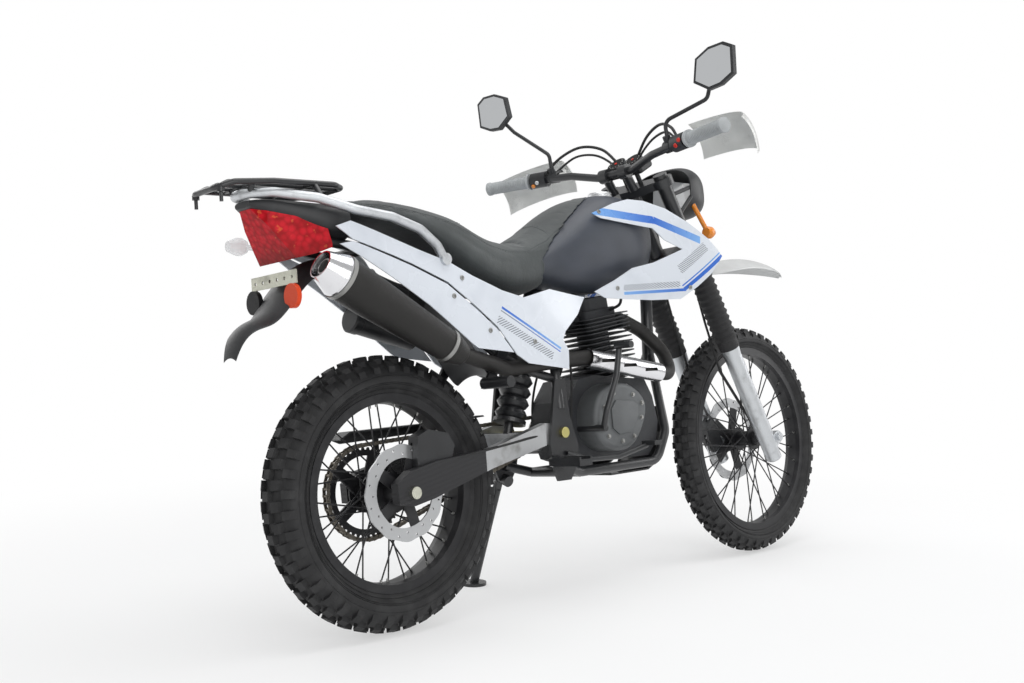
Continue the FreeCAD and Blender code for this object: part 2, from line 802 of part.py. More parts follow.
def belt_outline(radius_rear, radius_front):
    """The edges of a belt drawn round the two sprockets, in the plane of the chain."""
    rear = V(0, 0, rear_tyre_radius)
    front = V(front_sprocket_x, 0, front_sprocket_z)
    span = front - rear
    along = V(span.x, span.y, span.z)
    along.normalize()
    normal = V(-along.z, 0, along.x)
    tilt = (radius_rear - radius_front) / span.Length
    rise = math.sqrt(1 - tilt * tilt)
    top = along * tilt + normal * rise
    bottom = along * tilt - normal * rise
    corners = [rear + top * radius_rear, front + top * radius_front,
               front + bottom * radius_front, rear + bottom * radius_rear]
    edges = [
        Part.LineSegment(corners[0], corners[1]),
        Part.Arc(corners[1], front + along * radius_front, corners[2]),
        Part.LineSegment(corners[2], corners[3]),
        Part.Arc(corners[3], rear - along * radius_rear, corners[0]),
    ]
    return Part.Face(Part.Wire([edge.toShape() for edge in edges]))


def chain():
    inner_rear = sprocket_tip_radius + chain_clearance
    inner_front = front_sprocket_radius + seat_gap
    outer = belt_outline(inner_rear + chain_height, inner_front + chain_height)
    loop = outer.cut(belt_outline(inner_rear, inner_front))
    loop.translate(V(0, chain_line_y - chain_width / 2, 0))
    return loop.Faces[0].extrude(V(0, chain_width, 0))


guard_wall = 3.0
chain_guard_outline = (
    (-70, 452), (-40, 468), (60, 470), (250, 474), (380, 482), (384, 478), (250, 470), (60, 466),
    (-38, 464), (-66, 449),
)


def chain_guard():
    """A strip over the upper run, with a lip at its outer edge and two feet on the swingarm."""
    top = prism_y(chain_guard_outline, chain_line_y - chain_width / 2, arm_outer_y)
    outer_lip = [(-70, 452), (-40, 468), (60, 470), (250, 474), (384, 482), (384, 462), (250, 452),
                 (60, 444), (-40, 440)]
    lip = prism_y(outer_lip, arm_outer_y - guard_wall, arm_outer_y)
    pieces = [top, lip]
    for x, low in ((60.0, 386.2), (300.0, 418.5)):
        foot = Part.makeBox(14, guard_wall, 60, V(x, arm_outer_y - guard_wall, low))
        pieces.append(foot)
    return fused(pieces).cut(swingarm())


# Rear shock absorber
shock_low = V(398, 0, 428)
shock_high = V(490, 0, 700)
shock_body_radius = 24.0
spring_radius = 36.0
spring_wire_radius = 6.0
spring_turns = 7
shock_collar = 10.0


def rear_shock():
    axis = shock_high - shock_low
    direction = V(axis.x, axis.y, axis.z)
    direction.normalize()
    length = axis.Length
    wire = spring_wire_radius
    eye_room = 30.0
    bottom, top = eye_room + shock_collar, length - eye_room - shock_collar
    outline = [(0, 0), (shock_body_radius / 2, 0), (shock_body_radius / 2, eye_room),
               (spring_radius + wire, eye_room), (spring_radius + wire, bottom), (spring_radius - wire, bottom)]
    pitch = (top - bottom) / spring_turns
    for i in range(spring_turns):
        z = bottom + pitch * i
        outline += [(spring_radius, z + pitch * 0.15), (spring_radius + wire, z + pitch * 0.5),
                    (spring_radius, z + pitch * 0.85), (spring_radius - wire, z + pitch)]
    outline += [(spring_radius + wire, top), (spring_radius + wire, top + shock_collar),
                (shock_body_radius / 2, top + shock_collar), (shock_body_radius / 2, length), (0, length)]
    body = lathe_z(outline)
    body.Placement = FreeCAD.Placement(shock_low, FreeCAD.Rotation(ALONG_Z, direction))
    return body.cut([main_frame(), swingarm(), subframe()])


# Rear caliper, on a bracket over the right arm
caliper_outline = ((24, 374), (30, 448), (62, 462), (120, 450), (138, 420), (126, 386), (60, 382))


def rear_caliper():
    body = prism_y(caliper_outline, -arm_inner_y - 12, -rear_tyre_width / 2 - 4)
    pad_gap = disc_thickness / 2 + 1.5
    centre = V(0, 0, rear_tyre_radius)
    slot = cylinder(centre - ALONG_Y * (chain_line_y + pad_gap), centre - ALONG_Y * (chain_line_y - pad_gap),
                    rear_disc_radius + overrun)
    carrier_inner = cylinder(centre - ALONG_Y * (chain_line_y + pad_gap),
                             centre - ALONG_Y * (rear_tyre_width / 2), rear_disc_radius - rear_disc_band)
    return body.cut([slot, carrier_inner, swingarm()])


# Engine
engine_right_y = -72.0
engine_left_y = 60.0
crankcase_outline = (
    (548, 400), (566, 352), (610, 338), (852, 338), (888, 372), (902, 430), (886, 500), (858, 548),
    (660, 566), (596, 556), (552, 500), (540, 452),
)
cylinder_low = V(760, 0, 545)
cylinder_high = V(738, 0, 690)
barrel_radius = 44.0
barrel_fin_half_length = 88.0
barrel_fin_half_width = 74.0
fin_wall = 2.6
fin_count = 11
fin_corner = 18.0
head_height = 56.0
head_fin_count = 4


@lru_cache(maxsize=None)
def crankcase():
    block = prism_y(crankcase_outline, engine_right_y, engine_left_y)
    deck = cylinder(cylinder_low - ALONG_Z * overrun, cylinder_low, barrel_radius)
    return fused([block]).cut(main_frame())


def fin_plate(centre, direction, half_length, half_width, wall):
    plate = Part.makeBox(2 * half_length, 2 * half_width, wall, V(-half_length, -half_width, 0))
    plate = plate.makeFillet(fin_corner, [e for e in plate.Edges if abs(e.tangentAt(0).z) > 0.9])
    plate.Placement = FreeCAD.Placement(centre, FreeCAD.Rotation(ALONG_Z, direction))
    return plate


def cylinder_direction():
    axis = cylinder_high - cylinder_low
    axis.normalize()
    return axis


def crankcase_top_cut(shape):
    return shape.cut(crankcase())


@lru_cache(maxsize=None)
def engine_barrel():
    """The finned cylinder between the crankcase and the head."""
    direction = cylinder_direction()
    height = (cylinder_high - cylinder_low).Length
    core = cylinder(cylinder_low, cylinder_high, barrel_radius)
    pitch = height / fin_count
    pieces = [core]
    for i in range(fin_count):
        centre = cylinder_low + direction * (pitch * (i + 0.6))
        pieces.append(fin_plate(centre, direction, barrel_fin_half_length, barrel_fin_half_width, fin_wall))
    return fused(pieces).cut(crankcase())


head_core_half_length = 62.0
head_core_half_width = 50.0
cover_height = 34.0


@lru_cache(maxsize=None)
def cylinder_head():
    """The head with its own fins, the rocker cover and the stubs of both ports."""
    direction = cylinder_direction()
    turn = FreeCAD.Rotation(ALONG_Z, direction)
    base = cylinder_high
    core = fin_plate(base, direction, head_core_half_length, head_core_half_width, head_height)
    pieces = [core]
    pitch = (head_height - cover_height / 2) / head_fin_count
    for i in range(head_fin_count):
        centre = base + direction * (pitch * (i + 0.5))
        pieces.append(fin_plate(centre, direction, barrel_fin_half_length, barrel_fin_half_width, fin_wall))
    cover_base = base + direction * head_height
    pieces.append(fin_plate(cover_base, direction, 0.8 * head_core_half_length, 0.8 * head_core_half_width,
                            cover_height))
    exhaust = base + direction * (head_height / 2)
    pieces.append(cylinder(exhaust, exhaust + V(104, -22, -4), 22.0))
    pieces.append(cylinder(exhaust, exhaust + V(-112, 0, -4), 22.0))
    return fused(pieces).cut(engine_barrel())


cover_wall = 70.0
clutch_cover_outline = (
    (600, 392), (640, 368), (716, 372), (768, 428), (782, 480), (746, 524), (640, 534), (596, 500),
)
generator_cover_outline = (
    (660, 380), (730, 366), (800, 392), (828, 450), (806, 512), (730, 540), (664, 520), (642, 450),
)


@lru_cache(maxsize=None)
def engine_covers():
    """The clutch cover on the right, and the generator and sprocket covers on the left."""
    right_shell = smooth_prism_y(clutch_cover_outline, engine_right_y - cover_wall, engine_right_y)
    right_shell = right_shell.makeFillet(14.0, [e for e in right_shell.Edges
                                                if e.BoundBox.YMax < engine_right_y - cover_wall + 1])
    left = smooth_prism_y(generator_cover_outline, engine_left_y, engine_left_y + 58)
    left = left.makeFillet(12.0, [e for e in left.Edges if e.BoundBox.YMin > engine_left_y + 57])
    return Part.makeCompound([right_shell, left]).cut(engine_barrel())


def front_sprocket():
    """The drive sprocket on the engine's output shaft."""
    centre = V(front_sprocket_x, 0, front_sprocket_z)
    low = chain_line_y - sprocket_thickness / 2
    wheel = cylinder(centre + V(0, low, 0), centre + V(0, low + sprocket_thickness, 0), front_sprocket_radius)
    shaft = cylinder(centre + V(0, engine_left_y, 0), centre + V(0, low + 2 * sprocket_thickness, 0), 12.0)
    return wheel.fuse(shaft).removeSplitter()


def carburettor():
    base = cylinder_high + cylinder_direction() * (head_height / 2) + V(-112, 0, -4)
    body = cylinder(base, base + V(-62, 0, -6), 27.0)
    bowl = cylinder(base + V(-30, 0, -58), base + V(-30, 0, 0), 22.0)
    top = cylinder(base + V(-30, 0, 0), base + V(-34, 0, 50), 17.0)
    return fused([body, bowl, top]).cut([cylinder_head(), engine_barrel()])


# Exhaust, on the right
header_radius = 19.0
header_route = (
    (838, -24, 716), (900, -38, 684), (944, -74, 622), (926, -112, 556), (850, -132, 562),
    (700, -132, 590), (572, -131, 612), (470, -131, 606), (300, -124, 592), (128, -147, 634),
)
header_bend = 60.0
muffler_front = V(142, -147, 627)
muffler_rear = V(-196, -152, 808)
muffler_front_radius = 37.0
muffler_rear_radius = 50.0
muffler_cap_length = 52.0
muffler_outlet_radius = 30.0
outlet_wall = 3.0
muffler_hanger_outline = ((0, 690), (34, 672), (84, 786), (58, 806))
muffler_hanger_near_y = 84.0
muffler_hanger_far_y = 110.0


@lru_cache(maxsize=None)
def exhaust_header():
    pipe = bent_tube(side_route(header_route, LEFT), header_radius, header_bend)
    return pipe.cut(cylinder_head())


def muffler_axis():
    axis = muffler_rear - muffler_front
    axis.normalize()
    return axis


def along_muffler(shape):
    placed = shape.copy()
    placed.Placement = FreeCAD.Placement(muffler_front, FreeCAD.Rotation(ALONG_Z, muffler_axis()))
    return placed


@lru_cache(maxsize=None)
def muffler():
    length = (muffler_rear - muffler_front).Length
    body = lathe_z([
        (0, 0), (header_radius + overrun, 0), (header_radius + 2 * overrun, overrun),
        (muffler_front_radius, length * 0.1), (muffler_rear_radius, length * 0.8),
        (muffler_rear_radius, length), (0, length),
    ])
    hanger = prism_y(muffler_hanger_outline, -muffler_hanger_far_y, -muffler_hanger_near_y)
    return fused([along_muffler(body), hanger]).cut([exhaust_header(), subframe()])


def muffler_end_cap():
    length = (muffler_rear - muffler_front).Length
    end = length + muffler_cap_length
    cap = lathe_z([
        (0, length), (muffler_rear_radius, length), (muffler_rear_radius, length + overrun),
        (muffler_outlet_radius + outlet_wall, end), (muffler_outlet_radius, end),
        (muffler_outlet_radius - outlet_wall, end - muffler_cap_length / 2), (0, end - muffler_cap_length / 2),
    ])
    return along_muffler(cap)


shield_radius = 26.0
shield_wall = 2.0


@lru_cache(maxsize=None)
def header_heat_shield():
    """A half shell over the outer side of the header, with a row of slots."""
    start, end = V(850, -132, 562), V(572, -132, 610)
    shell = tube(start, end, shield_radius, shield_radius - shield_wall)
    keep = Part.makeBox(400, 100, 200, V(500, -132 - 100, 480))
    shell = shell.common(keep)
    axis = end - start
    slots = []
    for i in range(3):
        middle = start + axis * (0.2 + 0.3 * i)
        slot = box_about(middle - ALONG_Y * shield_radius, 50, shield_radius, 9)
        slots.append(slot)
    bosses = [cylinder(start + axis * share + V(0, -header_radius + 1, 0),
                       start + axis * share + V(0, -shield_radius + shield_wall / 2, 0), 5.0)
              for share in (0.05, 0.95)]
    return fused([shell.cut(slots)] + bosses).cut(exhaust_header())


guard_plate_wall = 4.0
guard_outline = ((938, 470), (942, 440), (930, 396), (880, 312), (850, 298), (700, 296), (700, 300),
                 (848, 302), (876, 315), (926, 398), (938, 440), (934, 470))


def engine_guard():
    return prism_y(guard_outline, -70, 70).cut(main_frame())


# Fuel tank: stations of (x, half width, lowest z, highest z)
tank_squareness = 2.6
tank_stations = (
    (470, 92, 806, 892), (540, 118, 792, 950), (620, 129, 788, 1008), (720, 133, 790, 1054),
    (820, 128, 800, 1060), (890, 104, 832, 1036), (930, 66, 880, 996),
)
tunnel_half_width = 34.0
tunnel_outline = (
    (440, 700), (440, 790), (534.4, 851.9), (690.6, 927.5), (952.9, 1008.2), (1000, 1022.7), (1000, 700),
)
cap_x = 812.0
cap_radius = 34.0
cap_height = 16.0
cap_sink = 26.0


@lru_cache(maxsize=None)
def tank_body(growth):
    stations = [(x, half + growth, low - growth, high + growth) for x, half, low, high in tank_stations]
    return body_loft(stations, tank_squareness)


def fuel_tank():
    """The tank straddles the backbone and stops short of the seat tubes."""
    tunnel = prism_y(tunnel_outline, -tunnel_half_width, tunnel_half_width)
    return tank_body(0).cut(tunnel)


def fuel_cap():
    top = tank_stations[4][3]
    cap = lathe_z([
        (0, top - cap_sink), (cap_radius, top - cap_sink), (cap_radius, top + cap_height - overrun),
        (cap_radius - overrun, top + cap_height), (0, top + cap_height),
    ])
    cap.translate(V(cap_x, 0, 0))
    return cap.cut(tank_body(0))


# Seat: stations of (x, half width, lowest z, highest z)
seat_squareness = 3.0
seat_stations = (
    (-118, 92, 946, 990), (-40, 122, 934, 996), (60, 130, 912, 986), (150, 128, 870, 974),
    (225, 124, 826, 952), (290, 120, 792, 926), (360, 112, 774, 912), (430, 104, 776, 918),
    (500, 98, 800, 950), (570, 92, 850, 996), (640, 80, 930, 1034), (712, 56, 1010, 1058),
)


@lru_cache(maxsize=None)
def seat():
    body = body_loft(seat_stations, seat_squareness)
    return body.cut([tank_body(seat_gap), subframe_room()])


@lru_cache(maxsize=None)
def subframe_room():
    pieces = []
    for side in SIDES:
        pieces.append(bent_tube(side_route(subframe_rail_route, side), subframe_radius + seat_gap, frame_bend))
    return pieces[0].fuse(pieces[1:])


# Side covers: one skin, parted along the seam between the upper and the lower cover
cover_xs = (-220, -40, 150, 340, 470, 620)
cover_zs = (560, 650, 740, 830, 960)
cover_widths = (
    (100, 108, 114, 116, 108), (146, 152, 154, 150, 138), (158, 161, 158, 152, 138),
    (158, 159, 154, 147, 132), (154, 152, 142, 132, 124), (142, 138, 130, 128, 124),
)
upper_cover_outline = (
    (-177, 922), (-142, 934), (-63, 906), (28, 874), (117, 846), (183, 815), (273, 781), (346, 764),
    (449, 787), (585, 768), (548, 723), (488, 680), (473, 658), (489, 632), (484, 584), (343, 602),
    (304, 624), (247, 693), (191, 738), (107, 799), (9, 840), (-38, 857), (-141, 892),
)
lower_cover_outline = (
    (-173, 882), (-142, 888), (-41, 852), (6, 835), (104, 794), (188, 733), (243, 689), (294, 630),
    (181, 643), (161, 656), (49, 743), (-45, 805), (-121, 851),
)
upper_boss_spots = ((150, 809), (430, 735))
lower_boss_spots = ((120, 766), (210, 699))
cover_boss_radius = 8.0
cover_boss_depth = 75.0


@lru_cache(maxsize=None)
def cover_skin():
    return skin_solid(cover_xs, cover_zs, cover_widths, LEFT, panel_wall)


def side_cover(outline, boss_spots):
    reach = cover_widths[2][1] + overrun
    skin = cover_skin().common(prism_y(outline, 0, 2 * reach))
    bosses = []
    inner = skin_solid(cover_xs, cover_zs, cover_widths, LEFT, cover_boss_depth)
    for x, z in boss_spots:
        post = cylinder(V(x, 0, z), V(x, reach, z), cover_boss_radius)
        bosses.append(post.common(inner))
    return fused([skin] + bosses).cut(subframe())


@lru_cache(maxsize=None)
def upper_side_covers():
    return both_sides(side_cover(upper_cover_outline, upper_boss_spots).cut(
        [seat(), tank_body(seat_gap)]))


@lru_cache(maxsize=None)
def lower_side_covers():
    return both_sides(side_cover(lower_cover_outline, lower_boss_spots))


# Shrouds beside the tank, C shaped in side view
shroud_xs = (590, 710, 830, 950, 1090)
shroud_zs = (730, 810, 890, 970, 1060)
shroud_widths = (
    (130, 137, 136, 122, 84), (148, 154, 150, 138, 92), (166, 174, 168, 148, 100),
    (184, 196, 190, 166, 118), (196, 210, 208, 186, 138),
)
shroud_outline = (
    (640, 992), (731, 1024), (799, 1040), (856, 1038), (922, 1017), (976, 979), (1035, 927), (1073, 878),
    (1020, 827), (966, 791), (908, 759), (807, 757), (721, 761), (648, 765), (614, 782), (684, 812),
    (747, 844), (821, 859), (888, 882), (930, 897), (875, 923), (845, 956), (742, 969), (664, 979),
)
shroud_boss_depth = 60.0
shroud_boss_spots = ((700, 792), (780, 1004), (850, 800))


def tank_shrouds():
    reach = 2 * shroud_widths[4][1]
    skin = skin_solid(shroud_xs, shroud_zs, shroud_widths, LEFT, panel_wall)
    skin = skin.common(prism_y(shroud_outline, 0, reach))
    inner = skin_solid(shroud_xs, shroud_zs, shroud_widths, LEFT, shroud_boss_depth)
    bosses = [cylinder(V(x, 0, z), V(x, reach, z), cover_boss_radius).common(inner)
              for x, z in shroud_boss_spots]
    panel = fused([skin] + bosses).cut([tank_body(seat_gap), seat()])
    return both_sides(panel)


# Tail: a black cap, the lamp under it, the grab rail round it and the rack on top
tail_stations = (
    (-332, 30, 972, 986), (-300, 52, 956, 990), (-250, 78, 936, 988), (-190, 100, 910, 984),
    (-124, 108, 892, 982),
)
tail_squareness = 3.2
lamp_side_outline = (
    (-326, 968), (-180, 930), (-168, 880), (-206, 866), (-250, 856), (-270, 884),
)
lamp_plan_outline = (
    (-326, -22), (-300, -48), (-250, -76), (-170, -98), (-168, 98), (-250, 76), (-300, 48), (-326, 22),
)


@lru_cache(maxsize=None)
def tail_cover():
    body = body_loft(tail_stations, tail_squareness)
    return body.cut([tail_light_body(), subframe(), seat(), cover_skin_both()])


def cover_skin_both():
    skin = cover_skin()
    return skin.fuse(mirrored(skin))


@lru_cache(maxsize=None)
def tail_light_body():
    side = prism_y(lamp_side_outline, -120, 120)
    plan = polygon_face([V(x, y, 840) for x, y in lamp_plan_outline]).extrude(V(0, 0, 160))
    return side.common(plan)


def tail_light():
    return tail_light_body().cut(subframe())


grab_route = (
    (104, 149, 852), (84, 151, 884), (36, 151, 920), (-40, 148, 945), (-130, 138, 958), (-210, 112, 984),
    (-290, 62, 1000), (-340, 20, 1000),
)
grab_radius = 11.0
grab_bend = 46.0


@lru_cache(maxsize=None)
def grab_rail():
    """One rail round both sides of the seat and behind the tail."""
    left = side_route(grab_route, LEFT)
    right = side_route(grab_route, RIGHT)
    rail = bent_tube(left + right[::-1], grab_radius, grab_bend)
    feet = [cylinder(V(104, side * 136, 852), V(104, side * 160, 852), grab_radius + 3) for side in SIDES]
    rail = fused([rail] + feet)
    return rail.cut([tail_cover(), seat(), upper_side_covers()])


rack_z = 1020.0
rack_radius = 6.5
rack_route = (
    (-150, 92, 1020), (-300, 84, 1020), (-386, 66, 1016), (-420, 50, 1004), (-420, -50, 1004),
    (-386, -66, 1016), (-300, -84, 1020), (-150, -92, 1020), (-110, -60, 1020), (-110, 60, 1020),
)
rack_bar_ys = (-44.0, 0.0, 44.0)
rack_cross_xs = (-330.0, -200.0)
rack_peg_radius = 4.0
rack_peg_length = 20.0
rack_peg_collar = 10.0
rack_peg_collar_radius = 8.0
rack_peg_x = -412.0
rack_peg_y = 54.0
rack_corner_z = 1004.0
rack_foot_spots = ((-250, 86), (-150, 92))


def luggage_rack():
    loop = side_route(rack_route, LEFT)
    start = (loop[0] + loop[-1]) * 0.5
    pieces = [bent_tube([start] + loop + [start], rack_radius, 24.0)]
    for y in rack_bar_ys:
        pieces.append(bent_tube([V(-110, y, rack_z), V(-388, y, rack_z), V(-420, y, 1004)], rack_radius - 1.5,
                                20.0))
    for x in rack_cross_xs:
        half = 86 if x > -300 else 80
        pieces.append(cylinder(V(x, -half, rack_z), V(x, half, rack_z), rack_radius - 1.5))
    for side in SIDES:
        root = V(rack_peg_x, side * rack_peg_y, rack_corner_z)
        seat_face = root - ALONG_Z * rack_peg_collar
        pieces.append(cylinder(seat_face, root, rack_peg_collar_radius))
        pieces.append(cylinder(seat_face - ALONG_Z * rack_peg_length, root, rack_peg_radius))
        pieces.append(cylinder(V(-200, side * 86, rack_z), V(-200, side * 116, 980), rack_radius))
        pieces.append(cylinder(V(-330, side * 44, rack_z), V(-330, side * 30, 996), rack_radius))
    return fused(pieces).cut([grab_rail(), seat(), tail_cover()])


# Rear fender: an arched sheet over the wheel and the blade behind it
fender_wall = 3.5
fender_half_width = 84.0
fender_stations = (
    (310, 640, 70), (200, 730, 82), (60, 812, 86), (-80, 858, 86), (-170, 862, 84), (-236, 818, 78),
    (-310, 736, 62), (-384, 650, 26),
)


@lru_cache(maxsize=None)
def rear_fender():
    count = 7
    grid = []
    for x, crown, half in fender_stations:
        row = []
        for i in range(count):
            across = 2 * i / (count - 1) - 1
            row.append(V(x, half * across, crown - 26 * across * across * half / fender_half_width))
        grid.append(row)
    sheet = sheet_solid(grid, V(0, 0, -fender_wall))
    return sheet.cut([subframe(), tail_light_body(), muffler()])


# Plate bracket, reflector and rear indicators
bracket_low_z = 800.0
bracket_height = 30.0
bracket_half_width = 92.0
bracket_x = -262.0
bracket_wall = 3.0
bracket_hole_radius = 4.0
bracket_arm_length = 27.0
bracket_arm_height = 17.0
bracket_arm_ys = (-30.0, 27.0)
bracket_hole_ys = (-75.0, -45.0, -15.0, 15.0, 45.0, 75.0)
reflector_radius = 27.0
indicator_radius = 21.0
rear_indicator_root = V(-215, 70, 895)
rear_indicator_tip = V(-250, 150, 911)
indicator_length = 46.0
stalk_radius = 7.0


@lru_cache(maxsize=None)
def plate_bracket():
    plate = Part.makeBox(bracket_wall, 2 * bracket_half_width, bracket_height,
                         V(bracket_x - bracket_wall, -bracket_half_width, bracket_low_z))
    holes = [cylinder(V(bracket_x - 2 * bracket_wall, y, bracket_low_z + bracket_height / 2),
                      V(bracket_x + bracket_wall, y, bracket_low_z + bracket_height / 2), bracket_hole_radius)
             for y in bracket_hole_ys]
    arms = [Part.makeBox(bracket_arm_length, bracket_wall, bracket_arm_height,
                         V(bracket_x - bracket_wall, y, bracket_low_z + bracket_height - bracket_arm_height))
            for y in bracket_arm_ys]
    return fused([plate.cut(holes)] + arms).cut(rear_fender())


def rear_reflector():
    """Two round reflectors under the ends of the plate bracket."""
    discs = []
    for side in SIDES:
        centre = V(bracket_x - bracket_wall, side * (bracket_half_width - reflector_radius / 2),
                   bracket_low_z - reflector_radius)
        disc = cylinder(centre - ALONG_X * 8, centre + ALONG_X * 3, reflector_radius)
        tab = Part.makeBox(3, 14, reflector_radius + 6, centre + V(0, -7, 0))
        discs.append(fused([disc, tab]))
    return Part.makeCompound(discs).cut([plate_bracket(), rear_fender()])


def rear_indicator():
    """The lamp on the left; the photo has none on the right."""
    stalk = cylinder(rear_indicator_root, rear_indicator_tip, stalk_radius)
    lens = lathe_z([(0, 0), (indicator_radius - 6, 0), (indicator_radius, 12), (indicator_radius, 24),
                    (indicator_radius - 8, indicator_length), (0, indicator_length)])
    lens.Placement = FreeCAD.Placement(rear_indicator_tip + V(10, 0, 0), FreeCAD.Rotation(ALONG_Z, V(-1, 0, 0)))
    lamp = fused([stalk, lens])
    return lamp.cut([tail_light_body(), rear_fender(), subframe(), lower_side_covers()])


# Tool box at the left, where the exhaust is on the right
tool_box_start = V(8, 106, 741)
tool_box_end = V(196, 106, 690)
tool_box_radius = 36.0


def tool_box():
    axis = tool_box_end - tool_box_start
    length = axis.Length
    body = lathe_z([(0, 0), (tool_box_radius - 4, 0), (tool_box_radius, 4), (tool_box_radius, 24),
                    (tool_box_radius - 2, 26), (tool_box_radius - 2, length - 4), (tool_box_radius - 6, length),
                    (0, length)])
    body.Placement = FreeCAD.Placement(tool_box_start, FreeCAD.Rotation(ALONG_Z, axis))
    return body.cut([lower_side_covers(), rear_fender(), subframe()])


# Foot controls
peg_x = 440.0
peg_z = 352.0
peg_length = 96.0


@lru_cache(maxsize=None)
def footpegs():
    """The rider's pegs low on the pivot plates, and the passenger's on the subframe stays."""
    outer = pivot_plate_y + pivot_plate_wall
    pieces = []
    for side in SIDES:
        near, far = y_span(side, outer, outer + 26)
        bracket = prism_y(((452, 338), (480, 338), (478, 366), (440, 370), (426, 362), (426, 344)), near, far)
        near, far = y_span(side, outer + 20, outer + 20 + peg_length)
        peg = prism_y(((418, 344), (462, 344), (462, 360), (418, 360)), near, far)
        teeth = [prism_y(((x, 359), (x + 6, 359), (x + 6, 366), (x, 366)), near, far) for x in (418, 456)]
        pieces.append(fused([bracket, peg] + teeth))
        near, far = y_span(side, 92, 190)
        passenger = cylinder(V(250, near, 560), V(250, far, 560), 14)
        hanger = prism_y(((238, 548), (262, 548), (330, 632), (306, 650)), *y_span(side, 92, 101))
        pieces.append(fused([passenger, hanger]))
    return Part.makeCompound(pieces).cut([main_frame(), subframe(), exhaust_header(), lower_side_covers()])


def kick_lever():
    pivot = V(620, engine_right_y - cover_wall, 440)
    shaft = cylinder(V(588, -72, 428), V(588, -168, 428), 9)
    arm = bent_tube([V(588, -160, 428), V(590, -172, 470), V(618, -190, 560), V(634, -192, 636)], 8, 30)
    pad = cylinder(V(628, -186, 636), V(628, -240, 636), 9)
    return fused([shaft, arm, pad]).cut([engine_covers(), crankcase(), exhaust_header(), header_heat_shield()])


def brake_pedal():
    arm = bent_tube([V(490, -120, 372), V(540, -150, 352), V(640, -158, 350), V(742, -166, 372)], 6.5, 30)
    pad = Part.makeBox(30, 46, 12, V(735, -200, 372))
    return fused([arm, pad]).cut([main_frame(), engine_covers(), footpegs()])


def shift_lever():
    shaft = cylinder(V(590, 60, 372), V(590, 150, 372), 7)
    arm = bent_tube([V(590, 144, 372), V(640, 152, 368), V(720, 156, 372)], 6, 20)
    pad = cylinder(V(720, 150, 372), V(720, 190, 372), 9)
    return fused([shaft, arm, pad]).cut([engine_covers(), crankcase(), main_frame()])


# Handlebar and what it carries, drawn in the steering frame as (forward, left, height)
bar_radius = 11.0
bar_route = ((-28, 0, 941), (-28, 62, 941), (-32, 150, 968), (-40, 262, 984), (-76, 425, 1005))
riser_radius = 13.0
riser_y = 36.0
grip_radius = 17.0
grip_start = 296.0
steering_forward = 1.0


def bar_point(share):
    start, end = V(*bar_route[3]), V(*bar_route[4])
    return start + (end - start) * share


@lru_cache(maxsize=None)
def handlebar():
    left = [V(x, y, z) for x, y, z in bar_route]
    right = [V(x, -y, z) for x, y, z in bar_route[1:]]
    bar = bent_tube(right[::-1] + left, bar_radius, 50.0)
    pieces = [bar]
    top = upper_yoke_low + upper_yoke_height
    for side in SIDES:
        pieces.append(cylinder(V(-20, side * riser_y, top), V(-28, side * riser_y, 941), riser_radius))
        pieces.append(cylinder(V(-28, side * (riser_y - 14), 941), V(-28, side * (riser_y + 14), 941),
                               bar_radius + 9))
    return on_steering(fused(pieces)).cut(fork_yokes())


@lru_cache(maxsize=None)
def grips():
    start, end = bar_point(0.2), bar_point(1.0)
    grip = cylinder(start, end + (end - start) * 0.03, grip_radius)
    collar = cylinder(start, start + (end - start) * 0.05, grip_radius + 7)
    body = fused([grip, collar]).cut(cylinder(start - (end - start), end, bar_radius + running_gap))
    return on_steering(both_sides(body))


@lru_cache(maxsize=None)
def hand_controls():
    """Switch boxes, lever brackets and levers."""
    root, direction = bar_point(0.0), bar_point(1.0) - bar_point(0.0)
    direction.normalize()
    box = cylinder(root - direction * 24, root + direction * 26, 23)
    clamp = cylinder(root - direction * 62, root - direction * 36, 17)
    perch = cylinder(root - direction * 49, root - direction * 49 + V(34, 0, 2), 10)
    lever = bent_tube([root - direction * 49 + V(32, 0, 2), root - direction * 10 + V(46, 0, 0),
                       root + direction * 120 + V(40, 0, -4)], 6, 24)
    bore = cylinder(root - direction * 80, root + direction * 40, bar_radius + running_gap)
    body = fused([box, clamp, perch, lever]).cut(bore)
    near_bar = on_steering(both_sides(body))
    return near_bar.cut([handlebar(), grips()])


def hand_guards():
    """Shells in front of the levers, open towards the rider."""
    grid = []
    for y, forward in ((238, 66), (300, 78), (370, 70), (430, 36), (458, -14)):
        row = []
        for height, push in ((962, -4), (1000, 8), (1040, 4), (1070, -14)):
            row.append(V(forward + push, y, height - 66))
        grid.append(row)
    shell = sheet_solid(grid, V(3.5, 0, 0))
    stay = bent_tube([bar_point(-0.36), bar_point(-0.36) + V(44, 10, 0), V(78, 262, 965)], 6, 16)
    body = fused([shell, stay])
    return on_steering(both_sides(body)).cut([handlebar(), hand_controls(), grips()])


mirror_centres = {LEFT: V(808, 395, 1400), RIGHT: V(845, -390, 1340)}
mirror_outline = ((-66, -28), (-54, 34), (-10, 54), (38, 56), (66, 40), (62, -34), (20, -54), (-20, -58))
mirror_depth = 18.0
mirror_rounding = 5.0
mirror_stem_radius = 5.5
mirror_stem_share = -0.28


